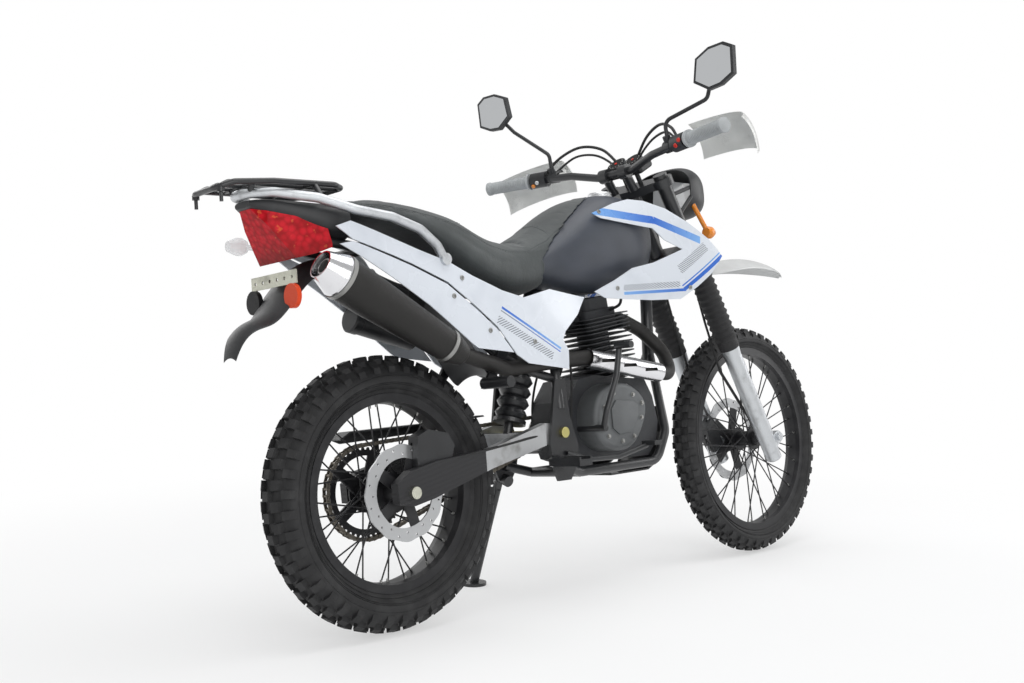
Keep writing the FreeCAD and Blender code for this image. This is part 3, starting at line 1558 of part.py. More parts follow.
def mirrors():
    """A head on a bent stem over each hand, its glass facing the rider."""
    pieces = []
    for side in SIDES:
        centre = mirror_centres[side]
        foot = bar_point(mirror_stem_share)
        low = steering_point(foot.x, side * foot.y, foot.z + 8)
        high = steering_point(foot.x, side * foot.y, foot.z + 30)
        base = cylinder(low, high, bar_radius)
        back = centre + ALONG_X * mirror_depth / 2
        route = [(low + high) * 0.5, high + ALONG_Z * 40, back + V(24, -side * 50, -70), back + V(0, -side * 8, -12)]
        stem = bent_tube(route, mirror_stem_radius, 24)
        head = polygon_face([centre + V(0, side * a, b) for a, b in mirror_outline]).extrude(ALONG_X * mirror_depth)
        head = head.makeFillet(mirror_rounding, [e for e in head.Edges if e.BoundBox.XMin > centre.x + 1])
        pieces.append(fused([stem, base, head]))
    return Part.makeCompound(pieces).cut([handlebar(), hand_controls()])


# Headlight mask, lamp and instruments
mask_stations = (
    (1078, 104, 1032, 1150), (1120, 106, 1018, 1166), (1165, 94, 1014, 1160), (1198, 70, 1026, 1140),
    (1214, 40, 1046, 1112),
)
mask_wall = 3.5
lens_outline = ((-64, 1060), (-54, 1118), (0, 1134), (54, 1118), (64, 1060), (30, 1034), (-30, 1034))


def mask_body(growth):
    stations = [(x + growth, half + growth, low - growth, high + growth)
                for x, half, low, high in mask_stations]
    return body_loft(stations, 2.8)


def lens_column(growth):
    points = [V(1060, y * (1 + growth), z) for y, z in lens_outline]
    return polygon_face(points).extrude(V(200, 0, 0))


@lru_cache(maxsize=None)
def headlight_mask():
    shell = mask_body(0).cut(mask_body(-mask_wall))
    opened = shell.cut([lens_column(0), Part.makeBox(30, 300, 300, V(1060, -150, 950))])
    fork_stays = []
    for side in SIDES:
        foot = steering_point(fork_offset + fork_tube_radius, side * fork_spacing / 2, 760)
        fork_stays.append(cylinder(foot, V(1112, side * 98, 1080), 6))
        foot = steering_point(fork_offset + fork_tube_radius, side * fork_spacing / 2, 820)
        fork_stays.append(cylinder(foot, V(1112, side * 98, 1100), 6))
    return fused([opened] + fork_stays).cut(fork_yokes())


@lru_cache(maxsize=None)
def headlight():
    lamp = mask_body(0).common(lens_column(-0.01))
    return lamp.common(Part.makeBox(300, 300, 300, V(1120, -150, 950)))


def instruments():
    """Two round gauges in a housing above the upper yoke."""
    base = upper_yoke_low + upper_yoke_height
    housing = Part.makeBox(66, 128, 26, V(6, -64, base + 34))
    housing = housing.makeFillet(9.0, housing.Edges)
    rings = [cylinder(V(38, side * 31, base + 50), V(32, side * 31, base + 74), 29) for side in SIDES]
    stay = [cylinder(V(34, side * 24, base), V(34, side * 24, base + 40), 7) for side in SIDES]
    return on_steering(fused([housing] + rings + stay)).cut([handlebar(), headlight_mask(), fork_yokes()])


def front_indicators():
    lamps = []
    for side in SIDES:
        root = V(1110, side * 86, 1060)
        tip = V(1150, side * 108, 962)
        stalk = cylinder(root, tip, stalk_radius)
        lens = lathe_z([(0, 0), (14, 0), (18, 10), (18, 20), (10, 36), (0, 36)])
        lens.Placement = FreeCAD.Placement(tip - ALONG_X * 10, FreeCAD.Rotation(ALONG_Z, ALONG_X))
        lamps.append(fused([stalk, lens]))
    return Part.makeCompound(lamps).cut([mask_body(0), headlight_mask()])


def front_caliper():
    """The caliper on the left leg, behind the axle."""
    half = fork_spacing / 2
    body = prism_y(((-96, -14), (-104, 34), (-92, 74), (-52, 84), (-40, 40), (-50, -10)), 46, half - slider_radius + 6)
    body.Placement = FreeCAD.Placement(V(axle_offset - 8, 0, 30), FreeCAD.Rotation())
    bracket = Part.makeBox(70, 10, 40, V(-26, half - slider_radius - 4, 60))
    pad_gap = disc_thickness / 2 + 1.5
    slot = cylinder(V(axle_offset, front_disc_y - pad_gap, 0), V(axle_offset, front_disc_y + pad_gap, 0),
                    front_disc_radius + overrun)
    return on_steering(fused([body, bracket]).cut(slot)).cut(fork_sliders())


def fork_cables():
    """The front brake's hose on the left and the speedometer cable on the right."""
    hose = bent_tube([V(1110, 52, 1010), V(1136, 54, 900), V(1136, 56, 800), V(1166, 56, 700), V(1216, 56, 560),
                      V(1262, 56, 470), V(1290, 56, 424)], 3.5, 90)
    cable = bent_tube([V(1110, -52, 1010), V(1136, -54, 900), V(1136, -56, 800), V(1166, -56, 700),
                       V(1216, -56, 560), V(1310, -56, 450), V(1378, -56, 378)], 3.5, 90)
    clips = [cylinder(V(1084, side * 54, 918), V(1132, side * 54, 918), 3) for side in SIDES]
    return Part.makeCompound([hose.fuse(clips[1]), cable.fuse(clips[0])]).cut(fork_yokes())


# Side stand, on the left
stand_leg_radius = 12.0
stand_shoe_radius = 34.0
stand_shoe_wall = 8.0


def side_stand():
    """The leg down to its shoe, whose underside is level with the ground when the bike leans."""
    axis = stand_axis()
    foot = stand_foot_point()
    low, high = stand_pivot - axis * stand_eye_half, stand_pivot + axis * stand_eye_half
    eye = cylinder(low, high, stand_eye_radius)
    leg = cylinder(stand_pivot, foot + ALONG_Z * stand_shoe_wall / 2, stand_leg_radius)
    shoe = cylinder(ORIGIN, ALONG_Z * stand_shoe_wall, stand_shoe_radius)
    shoe.Placement = FreeCAD.Placement(foot, FreeCAD.Rotation(ALONG_X, lean_angle))
    under = Part.makeBox(8 * stand_shoe_radius, 8 * stand_shoe_radius, stand_shoe_radius,
                         V(-4 * stand_shoe_radius, -4 * stand_shoe_radius, -stand_shoe_radius))
    under.Placement = shoe.Placement
    reach = axis * stand_lug_length
    bore = cylinder(stand_pivot - reach, stand_pivot + reach, stand_stud_radius + running_gap)
    plates = [cylinder(low - reach, low, 2 * stand_eye_radius), cylinder(high, high + reach, 2 * stand_eye_radius)]
    return fused([eye, leg, shoe]).cut([bore, under] + plates)


PARTS = {
    "front_wheel": ("front_wheel", front_wheel),
    "front_tyre": ("front_wheel", front_tyre),
    "rear_wheel": ("rear_wheel", rear_wheel),
    "rear_tyre": ("rear_wheel", rear_tyre),
    "fork_yokes": ("steering", fork_yokes),
    "fork_sliders": ("steering", fork_sliders),
    "fork_gaiters": ("steering", fork_gaiters),
    "front_mudguard": ("steering", front_mudguard),
    "handlebar": ("steering", handlebar),
    "grips": ("steering", grips),
    "hand_controls": ("steering", hand_controls),
    "hand_guards": ("steering", hand_guards),
    "mirrors": ("steering", mirrors),
    "headlight_mask": ("steering", headlight_mask),
    "headlight": ("steering", headlight),
    "instruments": ("steering", instruments),
    "front_indicators": ("steering", front_indicators),
    "front_caliper": ("steering", front_caliper),
    "fork_cables": ("steering", fork_cables),
    "main_frame": ("chassis", main_frame),
    "subframe": ("chassis", subframe),
    "swingarm": ("chassis", swingarm),
    "pivot_bolt": ("chassis", pivot_bolt),
    "rear_axle": ("chassis", rear_axle),
    "chain": ("chassis", chain),
    "chain_guard": ("chassis", chain_guard),
    "rear_shock": ("chassis", rear_shock),
    "rear_caliper": ("chassis", rear_caliper),
    "crankcase": ("chassis", crankcase),
    "engine_barrel": ("chassis", engine_barrel),
    "cylinder_head": ("chassis", cylinder_head),
    "engine_covers": ("chassis", engine_covers),
    "front_sprocket": ("chassis", front_sprocket),
    "carburettor": ("chassis", carburettor),
    "exhaust_header": ("chassis", exhaust_header),
    "muffler": ("chassis", muffler),
    "muffler_end_cap": ("chassis", muffler_end_cap),
    "header_heat_shield": ("chassis", header_heat_shield),
    "engine_guard": ("chassis", engine_guard),
    "fuel_tank": ("chassis", fuel_tank),
    "fuel_cap": ("chassis", fuel_cap),
    "seat": ("chassis", seat),
    "upper_side_covers": ("chassis", upper_side_covers),
    "lower_side_covers": ("chassis", lower_side_covers),
    "tank_shrouds": ("chassis", tank_shrouds),
    "tail_cover": ("chassis", tail_cover),
    "tail_light": ("chassis", tail_light),
    "grab_rail": ("chassis", grab_rail),
    "luggage_rack": ("chassis", luggage_rack),
    "rear_fender": ("chassis", rear_fender),
    "plate_bracket": ("chassis", plate_bracket),
    "rear_reflector": ("chassis", rear_reflector),
    "rear_indicators": ("chassis", rear_indicator),
    "tool_box": ("chassis", tool_box),
    "footpegs": ("chassis", footpegs),
    "kick_lever": ("chassis", kick_lever),
    "brake_pedal": ("chassis", brake_pedal),
    "shift_lever": ("chassis", shift_lever),
    "side_stand": ("side_stand", side_stand),
}


rest_steer_angle = 2.5
STEERED = ("steering", "front_wheel")


def steer_placement():
    axis = steering_point(0, 0, 1) - steering_base
    turn = FreeCAD.Rotation(axis, rest_steer_angle)
    return FreeCAD.Placement(ORIGIN, turn, steering_base)


@lru_cache(maxsize=None)
def park_placement():
    """Leans the motorcycle to its left and puts its origin at the middle of its ground."""
    lean = FreeCAD.Placement(ORIGIN, FreeCAD.Rotation(ALONG_X, -lean_angle))
    steered = lean.multiply(steer_placement())
    reach = FreeCAD.BoundBox()
    for shape, placement in ((luggage_rack(), lean), (rear_tyre(), lean), (front_tyre(), steered),
                             (grips(), steered), (hand_guards(), steered), (mirrors(), steered)):
        placed = shape.copy()
        placed.Placement = placement.multiply(placed.Placement)
        reach.add(placed.optimalBoundingBox(False, False))
    shift = V(-(reach.XMin + reach.XMax) / 2, -(reach.YMin + reach.YMax) / 2, -reach.ZMin)
    return FreeCAD.Placement(shift, FreeCAD.Rotation()).multiply(lean)


def place_parked(shape, body):
    placement = park_placement()
    if body in STEERED:
        placement = placement.multiply(steer_placement())
    placed = shape.copy()
    placed.Placement = placement.multiply(placed.Placement)
    return placed


def main():
    os.makedirs("parts", exist_ok=True)
    for name, (body, build) in PARTS.items():
        place_parked(build(), body).exportStep("parts/%s.step" % name)


if __name__ == "__main__":
    main()
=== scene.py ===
import json
import math

import bmesh
import bpy
from mathutils import Matrix, Vector
from mathutils.bvhtree import BVHTree

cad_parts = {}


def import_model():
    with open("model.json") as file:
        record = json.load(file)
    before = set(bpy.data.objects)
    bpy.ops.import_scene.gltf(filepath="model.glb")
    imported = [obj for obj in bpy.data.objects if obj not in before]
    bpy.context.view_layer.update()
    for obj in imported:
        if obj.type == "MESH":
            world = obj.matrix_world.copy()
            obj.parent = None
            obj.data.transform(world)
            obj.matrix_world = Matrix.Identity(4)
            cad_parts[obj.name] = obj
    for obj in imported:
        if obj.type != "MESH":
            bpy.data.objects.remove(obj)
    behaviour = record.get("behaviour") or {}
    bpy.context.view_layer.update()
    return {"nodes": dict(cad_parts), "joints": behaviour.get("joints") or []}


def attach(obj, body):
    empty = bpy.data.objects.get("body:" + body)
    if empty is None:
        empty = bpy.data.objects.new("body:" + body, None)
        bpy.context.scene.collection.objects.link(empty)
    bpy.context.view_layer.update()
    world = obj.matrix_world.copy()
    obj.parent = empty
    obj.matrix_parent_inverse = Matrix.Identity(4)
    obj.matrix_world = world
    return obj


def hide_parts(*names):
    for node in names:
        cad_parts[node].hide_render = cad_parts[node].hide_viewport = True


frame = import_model()
NODES = frame["nodes"]
JOINTS = {joint["name"]: joint for joint in frame["joints"]}

# Lengths are millimetres in the motorcycle's own upright frame: X forward from the rear axle,
# Y to the rider's left, Z up from the ground. PARKED, STEERED and FORK carry them to the row frame.
MM = 0.001
LEAN = math.radians(6.0)
RAKE = math.radians(27.5)
REST_STEER = math.radians(2.5)
WHEELBASE = 1400.0
FRONT_RADIUS, FRONT_WIDTH, FRONT_RIM = 345.0, 84.0, 267.0
REAR_RADIUS, REAR_WIDTH, REAR_RIM = 322.0, 120.0, 216.0
AXLE_OFFSET = 68.0
CHAIN_Y = 76.0
BUMP_SCALE = 10 * MM
SIDES = (1, -1)

axle_leaned = Vector((0, REAR_RADIUS * math.sin(LEAN), REAR_RADIUS * math.cos(LEAN))) * MM
park_shift = Vector(JOINTS["rear_wheel_spin"]["pos_m"]) - axle_leaned
PARKED = Matrix.Translation(park_shift) @ Matrix.Rotation(-LEAN, 4, "X")
head_point = Vector(JOINTS["steering_turn"]["pos_m"])
bar_turn = Matrix.Rotation(REST_STEER, 4, Vector(JOINTS["steering_turn"]["axis"]))
STEERED = Matrix.Translation(head_point) @ bar_turn @ Matrix.Translation(-head_point) @ PARKED
steering_base = Vector((WHEELBASE - AXLE_OFFSET * math.cos(RAKE), 0,
                        FRONT_RADIUS - AXLE_OFFSET * math.sin(RAKE)))
FORK = STEERED @ Matrix.Translation(steering_base * MM) @ Matrix.Rotation(-RAKE, 4, "Y")
FRONT_WHEEL = STEERED @ Matrix.Translation(Vector((WHEELBASE, 0, FRONT_RADIUS)) * MM)
REAR_WHEEL = PARKED @ Matrix.Translation(Vector((0, 0, REAR_RADIUS)) * MM)


# Shader maths

def joining(operation):
    """A method that joins a value and another by one maths node."""
    return lambda self, other: self.maths(operation, self, other)


class Value:
    """A socket that carries a number, so that a mask can be written as a plain expression."""

    def __init__(self, shader, socket):
        self.shader = shader
        self.socket = socket

    def maths(self, operation, *values):
        return self.shader.node("ShaderNodeMath", {"operation": operation}, values)

    __add__ = __radd__ = joining("ADD")
    __sub__ = joining("SUBTRACT")
    __mul__ = __rmul__ = joining("MULTIPLY")
    __truediv__ = joining("DIVIDE")
    __pow__ = joining("POWER")
    __mod__ = joining("FLOORED_MODULO")
    __gt__ = joining("GREATER_THAN")
    __lt__ = joining("LESS_THAN")
    least = joining("MINIMUM")
    most = joining("MAXIMUM")

    def __rsub__(self, other):
        return self.maths("SUBTRACT", other, self)

    def __abs__(self):
        return self.maths("ABSOLUTE", self)

    def clamped(self):
        return self.maths("ADD", self, 0.0).least(1.0).most(0.0)

    def between(self, low, high):
        """1 where the value lies from low to high, else 0."""
        return (self > low) * (self < high)

    def eased(self, low, high):
        """0 at low and 1 at high, with a smooth step between."""
        return self.shader.node("ShaderNodeMapRange", {"interpolation_type": "SMOOTHSTEP"},
                                {"Value": self, "From Min": low, "From Max": high})


class Shader:
    """One material, with its nodes made by node()."""

    def __init__(self, name):
        self.material = bpy.data.materials.new(name)
        self.material.use_nodes = True
        self.tree = self.material.node_tree
        self.tree.nodes.clear()

    def node(self, kind, settings=None, values=(), output=0):
        made = self.tree.nodes.new(kind)
        for name, setting in (settings or {}).items():
            if name == "stops":
                self.set_stops(made.color_ramp, setting)
            else:
                setattr(made, name, setting)
        pairs = values.items() if isinstance(values, dict) else enumerate(values)
        for key, value in pairs:
            if isinstance(value, Value):
                self.tree.links.new(value.socket, made.inputs[key])
            else:
                made.inputs[key].default_value = value
        return Value(self, made.outputs[output]) if len(made.outputs) else None

    def set_stops(self, ramp, stops):
        while len(ramp.elements) < len(stops):
            ramp.elements.new(1.0)
        for element, (place, colour) in zip(ramp.elements, stops):
            element.position = place
            element.color = colour

    def millimetres(self):
        """Object coordinates turned upright and counted in millimetres."""
        here = self.node("ShaderNodeTexCoord", output="Object")
        back = Matrix.Rotation(LEAN, 3, "X") @ park_shift
        size = 1.0 / MM
        return self.node("ShaderNodeMapping", {}, {
            "Vector": here, "Scale": (size, size, size), "Rotation": (LEAN, 0.0, 0.0),
            "Location": tuple(-back * size)})

    def split(self, vector):
        parted = self.tree.nodes.new("ShaderNodeSeparateXYZ")
        self.tree.links.new(vector.socket, parted.inputs[0])
        return [Value(self, parted.outputs[i]) for i in range(3)]

    def noise(self, vector, size, detail=2.0, rough=0.5):
        return self.node("ShaderNodeTexNoise", {}, {
            "Vector": vector, "Scale": 1.0 / size, "Detail": detail, "Roughness": rough})

    def mix(self, share, low, high):
        """A colour from low to high."""
        made = self.tree.nodes.new("ShaderNodeMix")
        made.data_type = "RGBA"
        sockets = (made.inputs[0], made.inputs[6], made.inputs[7])
        for socket, value in zip(sockets, (share, low, high)):
            if isinstance(value, Value):
                self.tree.links.new(value.socket, socket)
            else:
                socket.default_value = value
        return Value(self, made.outputs[2])

    def bump(self, height, distance, strength=1.0, before=None):
        values = {"Height": height, "Distance": distance, "Strength": strength}
        if before is not None:
            values["Normal"] = before
        return self.node("ShaderNodeBump", {}, values)

    def finish(self, **values):
        """Ends the material in a Principled surface with these inputs."""
        named = {name.replace("_", " "): value for name, value in values.items()}
        surface = self.node("ShaderNodeBsdfPrincipled", {}, named)
        self.node("ShaderNodeOutputMaterial", {}, {"Surface": surface})
        return self.material


def rgb(red, green, blue):
    return (red, green, blue, 1.0)


def plain(name, colour, roughness, metallic=0.0, shift=0.12, patch=70.0, grain=0.8, depth=0.03, **more):
    """A finish whose colour and gloss wander a little over the piece and whose surface has a grain."""
    s = Shader(name)
    place = s.millimetres()
    broad = s.noise(place, patch, 3.0)
    fine = s.noise(place, grain, 2.0)
    dark = rgb(*[c * (1 - shift) for c in colour])
    light = rgb(*[min(1.0, c * (1 + shift)) for c in colour])
    tone = s.mix(broad.eased(0.3, 0.7), dark, light)
    gloss = roughness + (broad - 0.5) * (0.5 * roughness) + (fine - 0.5) * (0.3 * roughness)
    return s.finish(Base_Color=tone, Roughness=gloss.clamped(), Metallic=metallic,
                    Normal=s.bump(fine, depth * BUMP_SCALE), **more)


DIRT = (0.02, 0.018, 0.015)


def worn_metal(name, colour, roughness, dirt_share=0.35, depth=0.05):
    """Bare or cast metal, duller and darker where dust has settled."""
    s = Shader(name)
    place = s.millimetres()
    cloud = s.noise(place, 45.0, 4.0)
    grain = s.noise(place, 0.7, 3.0)
    settled = cloud.eased(0.5, 0.75) * dirt_share
    tone = s.mix(settled, rgb(*colour), rgb(*DIRT))
    gloss = roughness + settled * 0.4 + (grain - 0.5) * 0.12
    return s.finish(Base_Color=tone, Roughness=gloss.clamped(), Metallic=1.0 - settled * 0.6,
                    Normal=s.bump(grain, depth * BUMP_SCALE))


def black_plastic():
    """Moulded plastic with a fine leather-like grain."""
    s = Shader("moulded_black")
    place = s.millimetres()
    cells = s.node("ShaderNodeTexVoronoi", {"feature": "SMOOTH_F1"}, {"Vector": place, "Scale": 0.8})
    dust = s.noise(place, 55.0, 4.0)
    tone = s.mix(dust.eased(0.4, 0.8), rgb(0.016, 0.017, 0.019), rgb(0.034, 0.036, 0.039))
    gloss = 0.46 + (dust - 0.5) * 0.2
    return s.finish(Base_Color=tone, Roughness=gloss, Normal=s.bump(cells, 0.12 * MM))


def seat_vinyl():
    """Dark green-grey vinyl with a pebbled grain and a paler bloom where it has been sat on."""
    s = Shader("seat_vinyl")
    place = s.millimetres()
    pebbles = s.node("ShaderNodeTexVoronoi", {"feature": "F1"}, {"Vector": place, "Scale": 0.55})
    folds = s.noise(place, 9.0, 3.0)
    bloom = s.noise(place, 130.0, 3.0)
    tone = s.mix(bloom.eased(0.35, 0.75), rgb(0.036, 0.042, 0.043), rgb(0.068, 0.077, 0.078))
    gloss = 0.62 + (bloom - 0.5) * 0.22 - (folds - 0.5) * 0.1
    lumps = s.bump(folds, 0.5 * MM)
    return s.finish(Base_Color=tone, Roughness=gloss, Normal=s.bump(pebbles, 0.22 * MM, 1.0, lumps),
                    Sheen_Weight=0.12)


def tyre_rubber():
    """Rubber with a dusty bloom and fine rings round the sidewall."""
    s = Shader("tyre_rubber")
    place = s.millimetres()
    bloom = s.noise(place, 40.0, 4.0)
    grain = s.noise(place, 1.1, 2.0)
    tone = s.mix(bloom.eased(0.35, 0.75), rgb(0.012, 0.012, 0.013), rgb(0.032, 0.032, 0.033))
    gloss = 0.66 + (bloom - 0.5) * 0.2
    return s.finish(Base_Color=tone, Roughness=gloss, Normal=s.bump(grain, 0.25 * MM))


def lens(name, colour, alpha, ribs=7.0):
    """Moulded lamp plastic with prism lines."""
    s = Shader(name)
    x, y, z = s.split(s.millimetres())
    wave = abs((z / ribs) % 1.0 - 0.5)
    cross = abs((y / ribs) % 1.0 - 0.5)
    gloss = 0.16 + wave * 0.1
    return s.finish(Base_Color=rgb(*colour), Roughness=gloss, Alpha=alpha, IOR=1.45, Coat_Weight=0.15,
                    Normal=s.bump(wave + cross, 0.4 * MM))


def tail_lens():
    """Deep red lamp plastic over a faceted reflector, with painted orange highlights in small glints and
    painted shade that darkens it low down.
    """
    s = Shader("red_lens")
    place = s.millimetres()
    x, y, z = s.split(place)
    facets = s.node("ShaderNodeTexVoronoi", {"feature": "F1"}, {"Vector": place, "Scale": 0.07})
    glints = s.noise(place, 16.0, 3.0)
    # Painted shade: the red is darkened towards the bottom of the lens.
    low = z.eased(905.0, 850.0)
    lit = s.mix(facets.eased(0.2, 0.9), rgb(0.62, 0.010, 0.022), rgb(0.34, 0.004, 0.008))
    # Painted highlight: small orange glints mixed into the red.
    with_painted_glints = s.mix(glints.eased(0.62, 0.7) * 0.5, lit, rgb(0.80, 0.16, 0.05))
    tone = s.mix(low * 0.7, with_painted_glints, rgb(0.16, 0.006, 0.004))
    return s.finish(Base_Color=tone, Roughness=0.3 + glints * 0.1, Specular_IOR_Level=0.12,
                    Normal=s.bump(facets, 0.5 * MM))


def reflector_pair():
    """A red-orange reflector on the right and a black one on the left."""
    s = Shader("reflector_pair")
    x, y, z = s.split(s.millimetres())
    cells = abs((z / 3.0) % 1.0 - 0.5) + abs((y / 3.0) % 1.0 - 0.5)
    tone = s.mix(y > 0.0, rgb(0.72, 0.07, 0.02), rgb(0.012, 0.012, 0.013))
    return s.finish(Base_Color=tone, Roughness=0.3 + cells * 0.1, Specular_IOR_Level=0.2,
                    Normal=s.bump(cells, 0.4 * MM))


def band(x, z, start, end, low, high):
    """A mask, 1 from low to high beside a line and else 0, and the share of the way along it."""
    run = Vector(end) - Vector(start)
    along = ((x - start[0]) * run.x + (z - start[1]) * run.y) / run.length_squared
    off = ((z - start[1]) * run.x - (x - start[0]) * run.y) / run.length
    return off.between(low, high) * along.between(0.0, 1.0), along


HATCH_PITCH, HATCH_GAP_SHARE = 6.0, 0.55


def white_panel(name, lines, hatches):
    """Gloss panel white with painted lines, and faint dust in patches over it."""
    s = Shader(name)
    place = s.millimetres()
    x, y, z = s.split(place)
    dust = s.noise(place, 90.0, 4.0)
    ripple = s.noise(place, 26.0, 1.0)
    tone = s.mix(dust.eased(0.5, 0.85), rgb(0.70, 0.74, 0.80), rgb(0.60, 0.64, 0.70))
    for start, end, low, high, slant, colour in hatches:
        mask, along = band(x, z, start, end, low, high)
        stroke = ((x * slant + z) / HATCH_PITCH) % 1.0 > HATCH_GAP_SHARE
        tone = s.mix(mask * stroke, tone, rgb(*colour))
    for start, end, low, high, first, last in lines:
        mask, along = band(x, z, start, end, low, high)
        tone = s.mix(mask, tone, s.mix(along.clamped(), rgb(*first), rgb(*last)))
    gloss = 0.2 + dust * 0.14
    return s.finish(Base_Color=tone, Roughness=gloss, Coat_Weight=0.5, Coat_Roughness=0.08,
                    Normal=s.bump(ripple, 0.12 * MM))


DISC_REACH = 6.0


def wheel_finish(name, centre_x, centre_z, disc_y, disc_low, disc_high):
    """Black rim, hub and spokes beside a bright, finely turned brake disc."""
    s = Shader(name)
    place = s.millimetres()
    x, y, z = s.split(place)
    radius = ((x - centre_x) ** 2.0 + (z - centre_z) ** 2.0) ** 0.5
    disc = radius.between(disc_low, disc_high) * (y - disc_y).between(-DISC_REACH, DISC_REACH)
    grooves = s.noise(s.node("ShaderNodeCombineXYZ", {}, {"X": radius}), 0.9, 2.0)
    dust = s.noise(place, 40.0, 3.0)
    black = s.mix(dust.eased(0.4, 0.8), rgb(0.010, 0.010, 0.012), rgb(0.026, 0.026, 0.028))
    tone = s.mix(disc, black, rgb(0.60, 0.61, 0.62))
    gloss = 0.42 + (dust - 0.5) * 0.2 - disc * 0.1
    return s.finish(Base_Color=tone, Roughness=gloss, Metallic=disc * 0.95,
                    Normal=s.bump(grooves, 0.06 * MM))


SLEEVE_FRONT_X, SLEEVE_RIB_PITCH, ARM_SLOPE = 222.0, 11.0, 0.23


def arm_finish():
    """Cast arm ahead, and a ribbed black sleeve over its rear half."""
    s = Shader("swingarm_two_tone")
    place = s.millimetres()
    x, y, z = s.split(place)
    sleeve = x < SLEEVE_FRONT_X
    dust = s.noise(place, 45.0, 4.0)
    ribs = abs(((z - x * ARM_SLOPE) / SLEEVE_RIB_PITCH) % 1.0 - 0.5) * sleeve
    silver = s.mix(dust.eased(0.45, 0.8), rgb(0.56, 0.57, 0.58), rgb(0.30, 0.30, 0.29))
    tone = s.mix(sleeve, silver, rgb(0.017, 0.017, 0.019))
    gloss = 0.36 + dust * 0.12 + sleeve * 0.1
    return s.finish(Base_Color=tone, Roughness=gloss, Metallic=1.0 - sleeve,
                    Normal=s.bump(ribs, 1.6 * MM))


# Painted lines are (start, end, low, high, first colour, last colour), with low and high the
# distances beside the line, and hatches are (start, end, low, high, slant, colour), all in (x, z)
BLUE, PALE_BLUE, LINE_GREY = (0.018, 0.13, 0.58), (0.20, 0.42, 0.80), (0.22, 0.24, 0.27)
SHROUD_LINES = (
    ((640, 1003), (862, 983), -15, 8, PALE_BLUE, BLUE),
    ((862, 983), (1003, 926), -15, 8, BLUE, PALE_BLUE),
    ((1082, 868), (926, 772), -20, -9, BLUE, BLUE),
    ((1082, 868), (926, 772), -28, -24, PALE_BLUE, BLUE),
    ((926, 772), (712, 764), -16, -8, BLUE, PALE_BLUE),
)
SHROUD_HATCHES = (
    ((1040, 868), (930, 800), -58, -32, 0.5, LINE_GREY),
    ((905, 785), (712, 777), -22, -6, 0.5, LINE_GREY),
)
COVER_LINES = (
    ((268, 742), (462, 638), -6, 0, BLUE, PALE_BLUE),
    ((268, 742), (462, 638), -13, -10, LINE_GREY, BLUE),
)
COVER_HATCHES = (((262, 734), (440, 640), -36, -16, -0.3, LINE_GREY),)


TYRE = tyre_rubber()
BLACK_PLASTIC = black_plastic()
VINYL = seat_vinyl()
COVER_WHITE = white_panel("cover_white", COVER_LINES, COVER_HATCHES)
SHROUD_WHITE = white_panel("shroud_white", SHROUD_LINES, SHROUD_HATCHES)
FRONT_WHEEL_BLACK = wheel_finish("front_wheel_black", WHEELBASE, FRONT_RADIUS, 58.0, 98.0, 131.0)
REAR_WHEEL_BLACK = wheel_finish("rear_wheel_black", 0.0, REAR_RADIUS, -76.0, 79.0, 113.0)
ARM = arm_finish()
BLACK_PAINT = plain("frame_black", (0.018, 0.019, 0.021), 0.32, Coat_Weight=0.3)
ENGINE_BLACK = plain("engine_black", (0.028, 0.030, 0.034), 0.5, grain=0.9, depth=0.09)
COVER_GREY = plain("cover_grey", (0.125, 0.132, 0.136), 0.42, depth=0.06, metallic=0.3)
SILVER = worn_metal("cast_silver", (0.62, 0.64, 0.66), 0.34)
ALLOY = worn_metal("bare_alloy", (0.70, 0.71, 0.72), 0.28)
STEEL = worn_metal("dull_steel", (0.36, 0.36, 0.35), 0.38)
CHAIN_STEEL = worn_metal("chain_steel", (0.22, 0.20, 0.17), 0.42)
ZINC = worn_metal("zinc_plate", (0.66, 0.66, 0.56), 0.3)
YELLOW_ZINC = worn_metal("yellow_zinc", (0.66, 0.60, 0.24), 0.3)
CHROME = worn_metal("chrome", (0.78, 0.78, 0.80), 0.09, dirt_share=0.12, depth=0.01)
RUBBER = plain("soft_rubber", (0.016, 0.016, 0.017), 0.62, depth=0.06)
GRIP = plain("grip_grey", (0.40, 0.42, 0.43), 0.6, grain=0.7, depth=0.08)
MIRROR = worn_metal("mirror_glass", (0.84, 0.86, 0.88), 0.02, dirt_share=0.02, depth=0.0)
DARK = plain("deep_black", (0.006, 0.006, 0.006), 0.9)
RED_BUTTON = plain("red_button", (0.55, 0.02, 0.01), 0.4)
WHITE_MARK = plain("dial_white", (0.8, 0.8, 0.78), 0.5)
GREY_PLASTIC = plain("mudguard_grey", (0.56, 0.57, 0.57), 0.34, shift=0.06, depth=0.015, Coat_Weight=0.2)
SLATE = plain("slate_panel", (0.045, 0.052, 0.068), 0.4, depth=0.04)
MILKY = plain("milky_plastic", (0.78, 0.79, 0.77), 0.3, shift=0.05, depth=0.015,
              Transmission_Weight=0.25, Coat_Weight=0.3)
HEADER_BLACK = plain("header_black", (0.022, 0.021, 0.020), 0.48, depth=0.05, metallic=0.4)
CLEAR_LENS = lens("clear_lens", (0.86, 0.88, 0.90), 0.45)
AMBER_LENS = lens("amber_lens", (0.85, 0.28, 0.03), 0.92)
RED_LENS = tail_lens()
REFLECTORS = reflector_pair()

